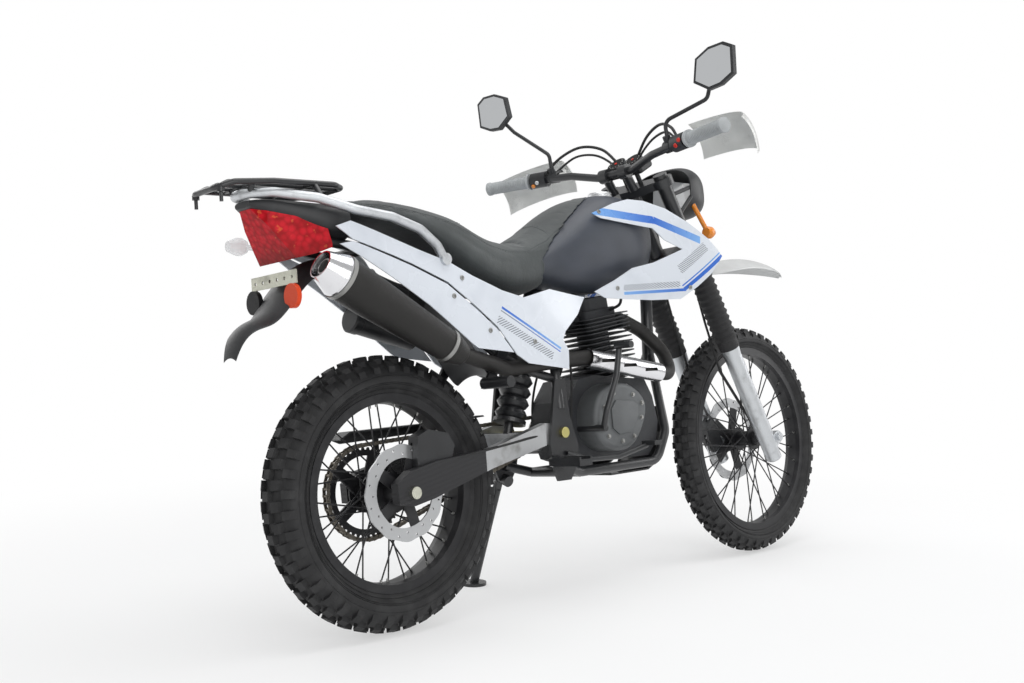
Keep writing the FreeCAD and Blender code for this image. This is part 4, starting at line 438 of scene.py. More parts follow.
FINISHES = (
    (TYRE, "front_tyre rear_tyre"), (FRONT_WHEEL_BLACK, "front_wheel"), (REAR_WHEEL_BLACK, "rear_wheel"),
    (BLACK_PAINT, "fork_yokes handlebar front_caliper main_frame subframe rear_shock rear_caliper "
                  "engine_guard luggage_rack footpegs kick_lever brake_pedal shift_lever side_stand"),
    (BLACK_PLASTIC, "hand_controls mirrors headlight_mask instruments chain_guard tail_cover "
                    "rear_fender tool_box"),
    (RUBBER, "fork_gaiters fork_cables"), (SILVER, "fork_sliders grab_rail"), (GRIP, "grips"),
    (GREY_PLASTIC, "front_mudguard"), (MILKY, "hand_guards"), (SLATE, "fuel_tank"), (VINYL, "seat"),
    (COVER_WHITE, "upper_side_covers lower_side_covers"), (SHROUD_WHITE, "tank_shrouds"),
    (CLEAR_LENS, "headlight rear_indicators"), (AMBER_LENS, "front_indicators"),
    (RED_LENS, "tail_light"), (REFLECTORS, "rear_reflector"),
    (ARM, "swingarm"), (YELLOW_ZINC, "pivot_bolt"), (ZINC, "rear_axle plate_bracket"),
    (CHAIN_STEEL, "chain"), (STEEL, "front_sprocket"), (ALLOY, "carburettor fuel_cap"),
    (ENGINE_BLACK, "crankcase engine_barrel cylinder_head"), (COVER_GREY, "engine_covers"),
    (HEADER_BLACK, "exhaust_header muffler"), (CHROME, "muffler_end_cap header_heat_shield"),
)
for material, node_names in FINISHES:
    for node_name in node_names.split():
        NODES[node_name].data.materials.clear()
        NODES[node_name].data.materials.append(material)


# Meshes

def linked(name, data):
    made = bpy.data.objects.new(name, data)
    bpy.context.scene.collection.objects.link(made)
    return made


def baked(made):
    """The plain mesh that an object's modifiers make."""
    bpy.context.view_layer.update()
    return bpy.data.meshes.new_from_object(made.evaluated_get(bpy.context.evaluated_depsgraph_get()))


def finished(name, mesh, body, material, placement):
    """Puts a mesh, made in millimetres, in its place as one piece of the motorcycle."""
    mesh.transform(placement @ Matrix.Diagonal((MM, MM, MM, 1.0)))
    piece = linked(name, mesh)
    mesh.materials.clear()
    mesh.materials.append(material)
    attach(piece, body)
    return piece


def smoothed(mesh, angle=35.0):
    """Smooth faces, with edges sharper than the angle kept crisp."""
    for face in mesh.polygons:
        face.use_smooth = True
    mesh.set_sharp_from_angle(angle=math.radians(angle))
    return mesh


def closed_mesh(name, shape, angle=35.0, merge=0.02):
    """A mesh from a bmesh, with its doubles merged and its faces pointing outwards."""
    bmesh.ops.remove_doubles(shape, verts=shape.verts, dist=merge)
    bmesh.ops.recalc_face_normals(shape, faces=shape.faces)
    mesh = bpy.data.meshes.new(name)
    shape.to_mesh(mesh)
    shape.free()
    return smoothed(mesh, angle)


def lathed(shape, profile, segments, axis="Y", centre=(0, 0, 0), closed=True):
    """Turns (radius, along) pairs about an axis and adds the faces to shape."""
    rings = []
    for i in range(segments):
        turn = 2 * math.pi * i / segments
        ring = []
        for radius, along in profile:
            c, s = radius * math.cos(turn), radius * math.sin(turn)
            spot = {"X": (along, c, s), "Y": (s, along, c), "Z": (c, s, along)}[axis]
            ring.append(shape.verts.new(Vector(spot) + Vector(centre)))
        rings.append(ring)
    count = len(profile)
    for i in range(segments):
        a, b = rings[i], rings[(i + 1) % segments]
        for j in range(count if closed else count - 1):
            k = (j + 1) % count
            shape.faces.new((a[j], a[k], b[k], b[j]))


def block(shape, corners_low, corners_high):
    """A solid between two matching loops of corners."""
    low = [shape.verts.new(v) for v in corners_low]
    high = [shape.verts.new(v) for v in corners_high]
    shape.faces.new(low[::-1])
    shape.faces.new(high)
    for i in range(len(low)):
        k = (i + 1) % len(low)
        shape.faces.new((low[i], low[k], high[k], high[i]))


# Geometry Nodes: one tree repeats a piece round the Y axis, one at given places

def new_tree(name, sockets):
    tree = bpy.data.node_groups.new(name, "GeometryNodeTree")
    tree.interface.new_socket("Geometry", in_out="INPUT", socket_type="NodeSocketGeometry")
    for label, kind in sockets:
        tree.interface.new_socket(label, in_out="INPUT", socket_type=kind)
    tree.interface.new_socket("Geometry", in_out="OUTPUT", socket_type="NodeSocketGeometry")
    return tree


def tree_node(tree, kind, values=None, **settings):
    made = tree.nodes.new(kind)
    for name, setting in settings.items():
        setattr(made, name, setting)
    for key, value in (values or {}).items():
        if isinstance(value, bpy.types.NodeSocket):
            tree.links.new(value, made.inputs[key])
        else:
            made.inputs[key].default_value = value
    return made


def end_tree(tree, instances, start):
    solid = tree_node(tree, "GeometryNodeRealizeInstances", {"Geometry": instances})
    faced = tree_node(tree, "GeometryNodeSetMaterial", {
        "Geometry": solid.outputs[0], "Material": start.outputs["Material"]})
    tree_node(tree, "NodeGroupOutput", {"Geometry": faced.outputs[0]})


def ring_tree():
    tree = new_tree("repeat_round", [("Count", "NodeSocketInt"), ("Material", "NodeSocketMaterial")])
    start = tree_node(tree, "NodeGroupInput")
    spots = tree_node(tree, "GeometryNodePoints", {"Count": start.outputs["Count"]})
    index = tree_node(tree, "GeometryNodeInputIndex")
    share = tree_node(tree, "ShaderNodeMath", {0: index.outputs[0], 1: start.outputs["Count"]},
                      operation="DIVIDE")
    angle = tree_node(tree, "ShaderNodeMath", {0: share.outputs[0], 1: 2 * math.pi},
                      operation="MULTIPLY")
    turn = tree_node(tree, "FunctionNodeAxisAngleToRotation", {
        "Axis": (0.0, 1.0, 0.0), "Angle": angle.outputs[0]})
    copies = tree_node(tree, "GeometryNodeInstanceOnPoints", {
        "Points": spots.outputs[0], "Instance": start.outputs["Geometry"], "Rotation": turn.outputs[0]})
    end_tree(tree, copies.outputs[0], start)
    return tree


def spot_tree():
    tree = new_tree("repeat_at", [("Unit", "NodeSocketObject"), ("Material", "NodeSocketMaterial")])
    start = tree_node(tree, "NodeGroupInput")
    unit = tree_node(tree, "GeometryNodeObjectInfo", {"Object": start.outputs["Unit"]})
    facing = tree_node(tree, "GeometryNodeInputNamedAttribute", {"Name": "facing"},
                       data_type="FLOAT_VECTOR")
    turn = tree_node(tree, "FunctionNodeAlignRotationToVector",
                     {"Vector": facing.outputs["Attribute"]}, axis="Z")
    copies = tree_node(tree, "GeometryNodeInstanceOnPoints", {
        "Points": start.outputs["Geometry"], "Instance": unit.outputs["Geometry"],
        "Rotation": turn.outputs[0]})
    end_tree(tree, copies.outputs[0], start)
    return tree


ROUND_TREE = ring_tree()
SPOT_TREE = spot_tree()


def socket_id(tree, label):
    return next(item.identifier for item in tree.interface.items_tree
                if item.in_out == "INPUT" and item.name == label)


def repeated(source, tree, values):
    """The plain mesh that a tree makes from source with these named inputs."""
    holder = linked("pattern_source", source)
    pattern = holder.modifiers.new("pattern", "NODES")
    pattern.node_group = tree
    for label, value in values.items():
        pattern[socket_id(tree, label)] = value
    mesh = baked(holder)
    bpy.data.objects.remove(holder)
    return mesh


def ring_of(unit, count, material):
    return repeated(unit, ROUND_TREE, {"Count": count, "Material": material})


def joined(name, meshes, angle=35.0):
    shape = bmesh.new()
    for mesh in meshes:
        shape.from_mesh(mesh)
    whole = bpy.data.meshes.new(name)
    shape.to_mesh(whole)
    shape.free()
    return smoothed(whole, angle)


def at_spots(unit_mesh, spots, material):
    """Copies of a mesh at (place, outward) pairs, its Z axis turned outward."""
    points = bpy.data.meshes.new("spots")
    points.from_pydata([tuple(place) for place, facing in spots], [], [])
    layer = points.attributes.new("facing", "FLOAT_VECTOR", "POINT")
    for item, (place, facing) in zip(layer.data, spots):
        item.vector = facing
    unit = linked("unit", unit_mesh)
    mesh = repeated(points, SPOT_TREE, {"Unit": unit, "Material": material})
    bpy.data.objects.remove(unit)
    return mesh


def surface_spot(node, start, heading, placement=PARKED):
    """Where a ray, in millimetres, first meets a CAD node, and the way out of the surface there."""
    whole = placement @ Matrix.Diagonal((MM, MM, MM, 1.0))
    turn = placement.to_3x3()
    way = (turn @ Vector(heading)).normalized()
    found, spot, normal, face = NODES[node].ray_cast(whole @ Vector(start), way)
    if not found:
        raise ValueError(f"no surface of {node} at {start}")
    return whole.inverted() @ spot, (turn.inverted() @ normal).normalized()


def turned(profile, segments, start, end, angle=35.0):
    """A closed lathe of (radius, along) pairs whose axis runs from start towards end."""
    shape = bmesh.new()
    lathed(shape, profile, segments, "Z", closed=False)
    mesh = closed_mesh("turned", shape, angle)
    axis = Vector(end) - Vector(start)
    mesh.transform(Matrix.Translation(Vector(start)) @ axis.to_track_quat("Z", "Y").to_matrix().to_4x4())
    return mesh


def hose(points, radius, segments=10, steps=8):
    """A closed round tube along a smooth line through the points."""
    knots = [Vector(point) for point in points]
    knots = [knots[0] * 2 - knots[1]] + knots + [knots[-1] * 2 - knots[-2]]
    line = []
    for a, b, c, d in zip(knots, knots[1:], knots[2:], knots[3:]):
        for step in range(steps):
            t = step / steps
            line.append(0.5 * (2 * b + (c - a) * t + (2 * a - 5 * b + 4 * c - d) * t ** 2
                               + (3 * b - a - 3 * c + d) * t ** 3))
    line.append(knots[-2])
    shape, rings, side = bmesh.new(), [], Vector((0.3, 1.0, 0.2))
    for i, spot in enumerate(line):
        heading = (line[min(i + 1, len(line) - 1)] - line[max(i - 1, 0)]).normalized()
        side = (side - heading * side.dot(heading)).normalized()
        up = heading.cross(side)
        turns = [2 * math.pi * k / segments for k in range(segments)]
        corners = [spot + (side * math.cos(t) + up * math.sin(t)) * radius for t in turns]
        rings.append([shape.verts.new(corner) for corner in corners])
    for low, high in zip(rings, rings[1:]):
        for k in range(segments):
            n = (k + 1) % segments
            shape.faces.new((low[k], low[n], high[n], high[k]))
    shape.faces.new(rings[0][::-1])
    shape.faces.new(rings[-1])
    return closed_mesh("hose", shape, 50.0)


def plate(outline, y_low, y_high, bevel=0.0):
    """A flat piece from (x, z) pairs between two y values, with its edges rounded."""
    shape = bmesh.new()
    block(shape, *[[Vector((x, y, z)) for x, z in outline] for y in (y_low, y_high)])
    bmesh.ops.recalc_face_normals(shape, faces=shape.faces)
    if bevel:
        bmesh.ops.bevel(shape, geom=shape.edges[:], offset=bevel, segments=2, affect="EDGES",
                        profile=0.6)
    return closed_mesh("plate", shape, 40.0)


# Tyres: a carcass and blocks of tread

def arc_points(low, high, count):
    return [low + (high - low) * i / (count - 1) for i in range(count)]


CROWN_DROP_SHARE, CROWN_POWER, CROWN_POINTS = 0.34, 2.2, 13
BEAD_SHARE, BEAD_FOOT_SHARE, EDGE_SHARE, BULGE_SHARE = 0.52, 0.9, 0.86, 0.97
BEAD_DROP, LIP_HEIGHT, LIP_STEP, LIP_WIDTH = 12, 13, 3, 2.5
WALL_START, WALL_STEP, WALL_SHARES = 7, 3, (0.25, 0.45, 0.65, 0.82)
BULGE_START, BULGE_SPAN = 0.12, 0.62
HOLLOW_SHARE, HOLLOW_WALL, HOLLOW_RISE, ROOF_WALL = 0.8, 6, 10, 9
RIB_SHARES, RIB_HALF, RIB_HEIGHT, RIB_ROOT = (0.3, 0.38, 0.72), 1.2, 1.1, 1
KNOB_INSET, KNOB_ROOT, KNOB_TOP_GAP = 1.1, 2, 0.6
TURNS, TYRE_EDGE_ANGLE, CARCASS_EDGE_ANGLE = 128, 40.0, 50.0
# Tread blocks in shares: low and high of the half width, place and length of the pitch, then skew
MIDDLE_BLOCK = (-0.20, 0.20, 0.0, 0.50, 0.0)
SIDE_BLOCKS = ((0.29, 0.58, 0.5, 0.52, 0.12), (0.66, 0.93, 0.08, 0.46, 0.0))
FRONT_TREAD, REAR_TREAD = 10.0, 12.0
FRONT_ROWS, REAR_ROWS = 48, 42


class Tyre:
    """One tyre: a turned carcass and tread blocks, each row repeated round it."""

    def __init__(self, name, radius, width, rim, tread_depth, body, placement):
        self.name, self.radius, self.width, self.rim = name, radius, width, rim
        self.tread_depth, self.body, self.placement = tread_depth, body, placement

    def crown(self, y):
        """Radius of the carcass under the tread at a place across the tyre."""
        half = self.width / 2
        drop = CROWN_DROP_SHARE * (self.radius - self.rim) * (abs(y) / half) ** CROWN_POWER
        return self.radius - self.tread_depth - drop

    def wall(self, share):
        """Radius and half width of the sidewall at a share of its height."""
        half = self.width / 2
        lip = self.rim + LIP_HEIGHT + WALL_START
        foot = BEAD_SHARE * half + WALL_STEP
        bulge = math.sin(math.pi * (BULGE_START + BULGE_SPAN * share))
        shoulder = self.crown(EDGE_SHARE * half)
        return lip + (shoulder - lip) * share, foot + (BULGE_SHARE * half - foot) * bulge

    def carcass(self):
        half = self.width / 2
        bead, edge = BEAD_SHARE * half, EDGE_SHARE * half
        lip = self.rim + LIP_HEIGHT
        outer = [(lip - BEAD_DROP, bead * BEAD_FOOT_SHARE), (lip, bead),
                 (lip + LIP_STEP, bead + LIP_WIDTH), (lip + WALL_START, bead + WALL_STEP)]
        outer += [self.wall(share) for share in WALL_SHARES]
        across = [(self.crown(y), y) for y in arc_points(edge, -edge, CROWN_POINTS)]
        back = [(radius, -y) for radius, y in outer[::-1]]
        hollow = [(lip + HOLLOW_RISE, HOLLOW_SHARE * half - HOLLOW_WALL),
                  (lip - BEAD_DROP, bead * HOLLOW_SHARE)]
        roof = self.radius - self.tread_depth - ROOF_WALL
        inner = [(radius, -y) for radius, y in hollow[::-1]] + [(roof, 0)] + hollow
        shape = bmesh.new()
        lathed(shape, outer + across + back + inner, TURNS)
        for share in RIB_SHARES:
            radius, y = self.wall(share)
            for side in SIDES:
                rib = [(radius - RIB_HALF, side * (y - RIB_ROOT)), (radius, side * (y + RIB_HEIGHT)),
                       (radius + RIB_HALF, side * (y - RIB_ROOT))]
                lathed(shape, rib, TURNS)
        return closed_mesh(self.name + "_carcass", shape, CARCASS_EDGE_ANGLE)

    def knob(self, shape, angle, y_low, y_high, length, skew):
        """One block of tread: a tapered brick that follows the crown."""
        corners = []
        for inset, rise in ((0.0, -KNOB_ROOT), (KNOB_INSET, self.tread_depth - KNOB_TOP_GAP)):
            loop = []
            low, high = y_low + inset, y_high - inset
            for along, y in ((-1, low), (1, low), (1, high), (-1, high)):
                radius = self.crown(y) + rise
                half = length / 2 - inset
                turn = angle + (along * half + skew * (y - (y_low + y_high) / 2)) / self.radius
                loop.append(Vector((radius * math.sin(turn), y, radius * math.cos(turn))))
            corners.append(loop)
        block(shape, *corners)

    def tread(self, count, material):
        """One pitch of blocks, repeated round the tyre."""
        half = self.width / 2
        pitch = 2 * math.pi / count
        length = pitch * self.radius
        shape = bmesh.new()
        blocks = [(1, MIDDLE_BLOCK)] + [(side, block) for side in SIDES for block in SIDE_BLOCKS]
        for side, (start, end, place, reach, skew) in blocks:
            low, high = sorted((side * start * half, side * end * half))
            self.knob(shape, place * pitch, low, high, reach * length, skew * side)
        unit = bpy.data.meshes.new("tread_pitch")
        bmesh.ops.recalc_face_normals(shape, faces=shape.faces)
        shape.to_mesh(unit)
        shape.free()
        return ring_of(unit, count, material)

    def build(self, count):
        whole = joined(self.name + "_visual", [self.carcass(), self.tread(count, TYRE)], TYRE_EDGE_ANGLE)
        piece = finished(self.name + "_rubber", whole, self.body, TYRE, self.placement)
        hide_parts(self.name)


Tyre("front_tyre", FRONT_RADIUS, FRONT_WIDTH, FRONT_RIM, FRONT_TREAD,
     "front_wheel", FRONT_WHEEL).build(FRONT_ROWS)
Tyre("rear_tyre", REAR_RADIUS, REAR_WIDTH, REAR_RIM, REAR_TREAD,
     "rear_wheel", REAR_WHEEL).build(REAR_ROWS)


# Chain: plates and rollers along the belt round both sprockets

CHAIN_LINK_PAIR = 31.75
FRONT_SPROCKET = (578.0, 430.0)
REAR_BELT_RADIUS, FRONT_BELT_RADIUS, BELT_STEPS = 111.5, 36.0, 48
OUTER_PLATE_Y, INNER_PLATE_Y, PLATE_WALL = 7.6, 5.4, 1.7
PLATE_END, PLATE_WAIST, PLATE_POINTS = 5.6, 4.2, 12
WAIST_SHARE, TIP_SHARE = 0.3, 0.8
ROLLER_BORE, ROLLER_RADIUS, ROLLER_HALF, ROLLER_SEGMENTS = 0.1, 3.6, 8.2, 8


def belt_points(radius_rear, radius_front, count):
    """A closed line round both sprockets, in the plane y 0."""
    rear, front = Vector((0, 0, REAR_RADIUS)), Vector((FRONT_SPROCKET[0], 0, FRONT_SPROCKET[1]))
    along = (front - rear).normalized()
    normal = Vector((-along.z, 0, along.x))
    tilt = (radius_rear - radius_front) / (front - rear).length
    rise = math.sqrt(1 - tilt * tilt)
    start = math.atan2(rise, tilt)
    points = []
    for i in range(count + 1):
        turn = start + (2 * math.pi - 2 * start) * i / count
        points.append(rear + (along * math.cos(turn) + normal * math.sin(turn)) * radius_rear)
    for i in range(count // 3 + 1):
        turn = -start + 2 * start * i / (count // 3)
        points.append(front + (along * math.cos(turn) + normal * math.sin(turn)) * radius_front)
    return points


def along_loop(points, distance):
    """The place and heading at a distance round a closed line."""
    for a, b in zip(points, points[1:] + points[:1]):
        step = (b - a).length
        if distance <= step:
            return a + (b - a) * (distance / step), (b - a).normalized()
        distance -= step
    return points[0], (points[1] - points[0]).normalized()


def chain_link(pitch, outer):
    """One pair of plates with its roller, lying along X."""
    shape = bmesh.new()
    for side in SIDES:
        y = side * (OUTER_PLATE_Y if outer else INNER_PLATE_Y)
        low, high = sorted((y, y + side * PLATE_WALL))
        loop = []
        for i in range(PLATE_POINTS):
            turn = 2 * math.pi * i / PLATE_POINTS
            waist = PLATE_END if abs(math.cos(turn)) > WAIST_SHARE else PLATE_WAIST
            reach = math.copysign(pitch / 2, math.cos(turn)) * min(1, abs(math.cos(turn)) * 2)
            loop.append((reach + waist * TIP_SHARE * math.cos(turn), waist * math.sin(turn)))
        block(shape, *[[Vector((x, y, z)) for x, z in loop] for y in (low, high)])
    roller = [(ROLLER_BORE, -ROLLER_HALF), (ROLLER_RADIUS, -ROLLER_HALF), (ROLLER_RADIUS, ROLLER_HALF),
              (ROLLER_BORE, ROLLER_HALF)]
    for end in (-0.5, 0.5):
        lathed(shape, roller, ROLLER_SEGMENTS, "Y", (end * pitch, 0, 0))
    bmesh.ops.recalc_face_normals(shape, faces=shape.faces)
    mesh = bpy.data.meshes.new("chain_link_unit")
    shape.to_mesh(mesh)
    shape.free()
    return mesh


def chain():
    """Outer and inner links in turn, spread along the belt."""
    points = belt_points(REAR_BELT_RADIUS, FRONT_BELT_RADIUS, BELT_STEPS)
    total = sum((a - b).length for a, b in zip(points, points[1:] + points[:1]))
    count = 2 * round(total / CHAIN_LINK_PAIR)
    pitch = total / count
    rows = []
    for first in (0, 1):
        spots = []
        for i in range(first, count, 2):
            place, heading = along_loop(points, total * i / count)
            spots.append((place + Vector((0, CHAIN_Y, 0)), Vector((-heading.z, 0, heading.x))))
        rows.append(at_spots(chain_link(pitch, first == 0), spots, CHAIN_STEEL))
    whole = joined("chain_links", rows, 30.0)
    piece = finished("drive_chain", whole, "chassis", CHAIN_STEEL, PARKED)
    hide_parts("chain")


chain()


def on_chassis(name, mesh, material):
    return finished(name, mesh, "chassis", material, PARKED)


def on_bars(name, mesh, material):
    return finished(name, mesh, "steering", material, FORK)


# Small pieces: (radius, along) profiles are turned about the line that they stand on

SCREW = [(0, -1.5), (6.2, -1.5), (6.2, 1.4), (5.2, 2.6), (2.7, 2.8), (2.7, 1.2), (0, 1.2)]
HEX_BOLT = [(0, -2), (8.2, -2), (8.2, 1), (5.6, 1), (5.6, 5.4), (4.6, 6.2), (0, 6.2)]


FAR_OUTSIDE, ENGINE_BOLT_SIZE = 600, 0.8


def screws(name, node, spots, profile, side, size=1.0):
    """Screw heads where rays along Y from outside meet a CAD node at (x, z)."""
    unit = turned([(radius * size, along * size) for radius, along in profile], 18,
                  (0, 0, 0), (0, 0, 1))
    found = [surface_spot(node, (x, side * FAR_OUTSIDE, z), (0, -side, 0)) for x, z in spots]
    on_chassis(name, smoothed(at_spots(unit, found, STEEL)), STEEL)


for name, node, spots in (
        ("upper_cover_screws", "upper_side_covers", ((368, 655), (150, 809))),
        ("lower_cover_screws", "lower_side_covers", ((222, 684), (120, 766))),
        ("shroud_screws", "tank_shrouds", ((664, 996), (690, 790), (940, 790)))):
    screws(name + "_left", node, spots, SCREW, 1)
    screws(name + "_right", node, spots, SCREW, -1)
CLUTCH_BOLTS = ((624, 404), (676, 388), (722, 398), (756, 446), (762, 484), (728, 508),
                (652, 514), (616, 480))
GENERATOR_BOLTS = ((676, 402), (730, 388), (784, 410), (806, 456), (788, 498), (728, 520),
                   (676, 502), (660, 450))
screws("clutch_cover_bolts", "engine_covers", CLUTCH_BOLTS, HEX_BOLT, -1, ENGINE_BOLT_SIZE)
screws("generator_cover_bolts", "engine_covers", GENERATOR_BOLTS, HEX_BOLT, 1, ENGINE_BOLT_SIZE)

CLUTCH_PANEL = ((640, 424), (664, 406), (712, 410), (738, 446), (744, 478), (722, 492),
                (658, 496), (638, 474))
CLUTCH_PANEL_Y, CLUTCH_PANEL_BEVEL = (-146, -140), 2.0
on_chassis("clutch_cover_panel", plate(CLUTCH_PANEL, *CLUTCH_PANEL_Y, CLUTCH_PANEL_BEVEL),
           COVER_GREY)
CAP_SEGMENTS = 40
GENERATOR_CAP = [(0, -3), (34, -3), (34, 3), (30, 6), (12, 6), (12, 4), (0, 4)]
on_chassis("generator_cap", turned(GENERATOR_CAP, CAP_SEGMENTS, (732, 116, 452), (732, 130, 452)),
           COVER_GREY)
FILLER_CAP = [(0, -3), (15, -3), (15, 4), (12, 7), (0, 7)]
on_chassis("oil_filler_cap", turned(FILLER_CAP, 24, (786, -70, 524), (790, -84, 530)),
           ALLOY)


# Exhaust: the outlet's dark bore, its inner pipe and bands
MUFFLER_FRONT, MUFFLER_REAR = Vector((142, -147, 627)), Vector((-196, -152, 808))
OUTLET_DEPTH = 26
OUTLET_BORE = [(0, -3), (26.4, -3), (26.4, 0.8), (0, 0.8)]
INNER_PIPE = [(14, 0), (19, 0), (19, 17), (17.5, 18), (15.5, 18), (15.5, 1.5), (14, 1.5)]
BANDS = ((0.14, 38.8), (0.985, 50.9))
muffler_way = (MUFFLER_REAR - MUFFLER_FRONT).normalized()
outlet = MUFFLER_REAR + muffler_way * OUTLET_DEPTH


def muffler_ring(name, profile, segments, place):
    """A closed ring round the muffler's own line."""
    shape = bmesh.new()
    lathed(shape, profile, segments, "Z")
    mesh = closed_mesh(name, shape)
    mesh.transform(Matrix.Translation(place) @ muffler_way.to_track_quat("Z", "Y").to_matrix().to_4x4())
    return mesh


# The near-black disc across the outlet is soot black and painted shade, standing in for the dark inside
# of the pipe.
on_chassis("outlet_bore", turned(OUTLET_BORE, CAP_SEGMENTS, outlet, outlet + muffler_way),
           DARK)
on_chassis("outlet_inner_pipe", muffler_ring("inner_pipe", INNER_PIPE, 36, outlet), STEEL)
bands = []
for share, radius in BANDS:
    low = MUFFLER_FRONT + (MUFFLER_REAR - MUFFLER_FRONT) * share
    strap = [(radius - 2, -5), (radius + 1, -5), (radius + 1.4, 0), (radius + 1, 5), (radius - 2, 5)]
    bands.append(muffler_ring("band", strap, 56, low))
on_chassis("muffler_bands", joined("muffler_bands", bands), STEEL)


# Handlebar: grip ribs, mirror glass, dials and switches
BAR_START, BAR_END = Vector((-40, 262, 984)), Vector((-76, 425, 1005))
GRIP_RIB = [(15.5, -1.5), (18.3, -0.7), (18.3, 0.7), (15.5, 1.5)]
GRIP_RIBS, FIRST_RIB_SHARE, RIB_RUN_SHARE = 20, 0.30, 0.68
BAR_CAP = [(0, -2), (17, -2), (20, 2), (20, 9), (14, 13), (0, 13)]
CAP_SHARE, CAP_AIM_SHARE = 1.02, 1.2
WORDS = {1: "left", -1: "right"}


def mirrored_spot(place, side):
    return Vector((place[0], place[1] * side, place[2]))


for side, word in WORDS.items():
    start, end = mirrored_spot(BAR_START, side), mirrored_spot(BAR_END, side)
    way = (end - start).normalized()
    rib_shape = bmesh.new()
    lathed(rib_shape, GRIP_RIB, 28, "Z")
    rib = closed_mesh("rib", rib_shape)
    shares = [FIRST_RIB_SHARE + RIB_RUN_SHARE * i / (GRIP_RIBS - 1) for i in range(GRIP_RIBS)]
    ribs = at_spots(rib, [(start.lerp(end, share), way) for share in shares], GRIP)
    on_bars(f"grip_ribs_{word}", smoothed(ribs), GRIP)
    cap = turned(BAR_CAP, 28, start.lerp(end, CAP_SHARE), start.lerp(end, CAP_AIM_SHARE))
    on_bars(f"bar_end_{word}", cap, GRIP)

MIRROR_CENTRES = {1: (808, 395, 1400), -1: (845, -390, 1340)}
MIRROR_OUTLINE = ((-66, -28), (-54, 34), (-10, 54), (38, 56), (66, 40), (62, -34), (20, -54),
                  (-20, -58))
GLASS_WIDTH_SHARE, GLASS_HEIGHT_SHARE, GLASS_REAR, GLASS_FRONT = 0.88, 0.87, 0.8, 1.0
for side, (x, y, z) in MIRROR_CENTRES.items():
    shape = bmesh.new()
    rim = [(y + side * a * GLASS_WIDTH_SHARE, z + b * GLASS_HEIGHT_SHARE) for a, b in MIRROR_OUTLINE]
    block(shape, *[[Vector((x + step, a, b)) for a, b in rim] for step in (-GLASS_REAR, GLASS_FRONT)])
    glass = closed_mesh("glass", shape, 30.0)
    finished(f"mirror_glass_{WORDS[side]}", glass, "steering", MIRROR, STEERED)

DIAL = [(0, -1), (26, -1), (26, 0.8), (0, 0.8)]
DIAL_HUB = [(0, 0), (4, 0), (4, 2.4), (0, 2.4)]
TICK = [(0, 0), (0.9, 0), (0.9, 1.2), (0, 1.2)]
DIAL_X, DIAL_Y, DIAL_Z = 32, 31, 954
DIAL_AIM = Vector((-0.5, 0, 2))
TICKS, FIRST_TICK, TICK_STEP, TICK_RADIUS, TICK_LIFT, HUB_LIFT = 11, -130, 26, 21, 0.7, 0.5
for side, word in WORDS.items():
    face = Vector((DIAL_X, side * DIAL_Y, DIAL_Z))
    way = DIAL_AIM.normalized()
    on_bars(f"dial_{word}", turned(DIAL, CAP_SEGMENTS, face, face + DIAL_AIM), DARK)
    across = Vector((0, 1, 0))
    up = way.cross(across)
    ticks = []
    for i in range(TICKS):
        turn = math.radians(FIRST_TICK + TICK_STEP * i)
        round_face = (across * math.sin(turn) + up * math.cos(turn)) * TICK_RADIUS
        ticks.append((face + way * TICK_LIFT + round_face, way))
    marks = at_spots(turned(TICK, 8, (0, 0, 0), (0, 0, 1)), ticks, WHITE_MARK)
    on_bars(f"dial_marks_{word}", smoothed(marks), WHITE_MARK)
    seat_of_hub = face + way * HUB_LIFT
    on_bars(f"dial_hub_{word}", turned(DIAL_HUB, 18, seat_of_hub, seat_of_hub + DIAL_AIM),
            RED_BUTTON)

BUTTON = [(0, -2), (6, -2), (6, 3), (5, 4.5), (0, 4.5)]
BUTTON_FOOT, BUTTON_AIM = 22.5, 30
BUTTONS = (
    ("starter_button", -0.02, -1, 0.0, RED_BUTTON, "red_lens"),
    ("stop_button", 0.08, -1, 0.5, RED_BUTTON, "red_lens"),
    ("turn_button", -0.02, 1, 0.0, GREY_PLASTIC, "grey_plastic"),
    ("horn_button", 0.08, 1, -0.4, AMBER_LENS, "amber_lens"),
)
for name, share, side, lift, material, slot in BUTTONS:
    root = mirrored_spot(BAR_START.lerp(BAR_END, share), side)
    out = Vector((-1, 0, lift)).normalized()
    on_bars(name, turned(BUTTON, 18, root + out * BUTTON_FOOT, root + out * BUTTON_AIM), material)


# Seat: a padded cushion, swollen by cloth pressure, with its seams sewn on

SEAT_VOXEL, SEAT_SHRINK, SEAT_SWELL, SEAT_FRAMES = 6.0, 3.0, 6.5, 20
SEAT_PRESSURE, SEAT_TENSION, SEAT_BENDING, SEAT_QUALITY = 4.0, 18.0, 3.0, 6
PIN_START, PIN_SLOPE = 0.9, 1.6


def remeshed(name, mesh, voxel):
    """A copy of a mesh, remade of even squares."""
    copy = linked(name, mesh.copy())
    even = copy.modifiers.new("even", "REMESH")
    even.mode = "VOXEL"
    even.voxel_size = voxel * MM
    made = baked(copy)
    copy.modifiers.clear()
    copy.data = made
    return copy


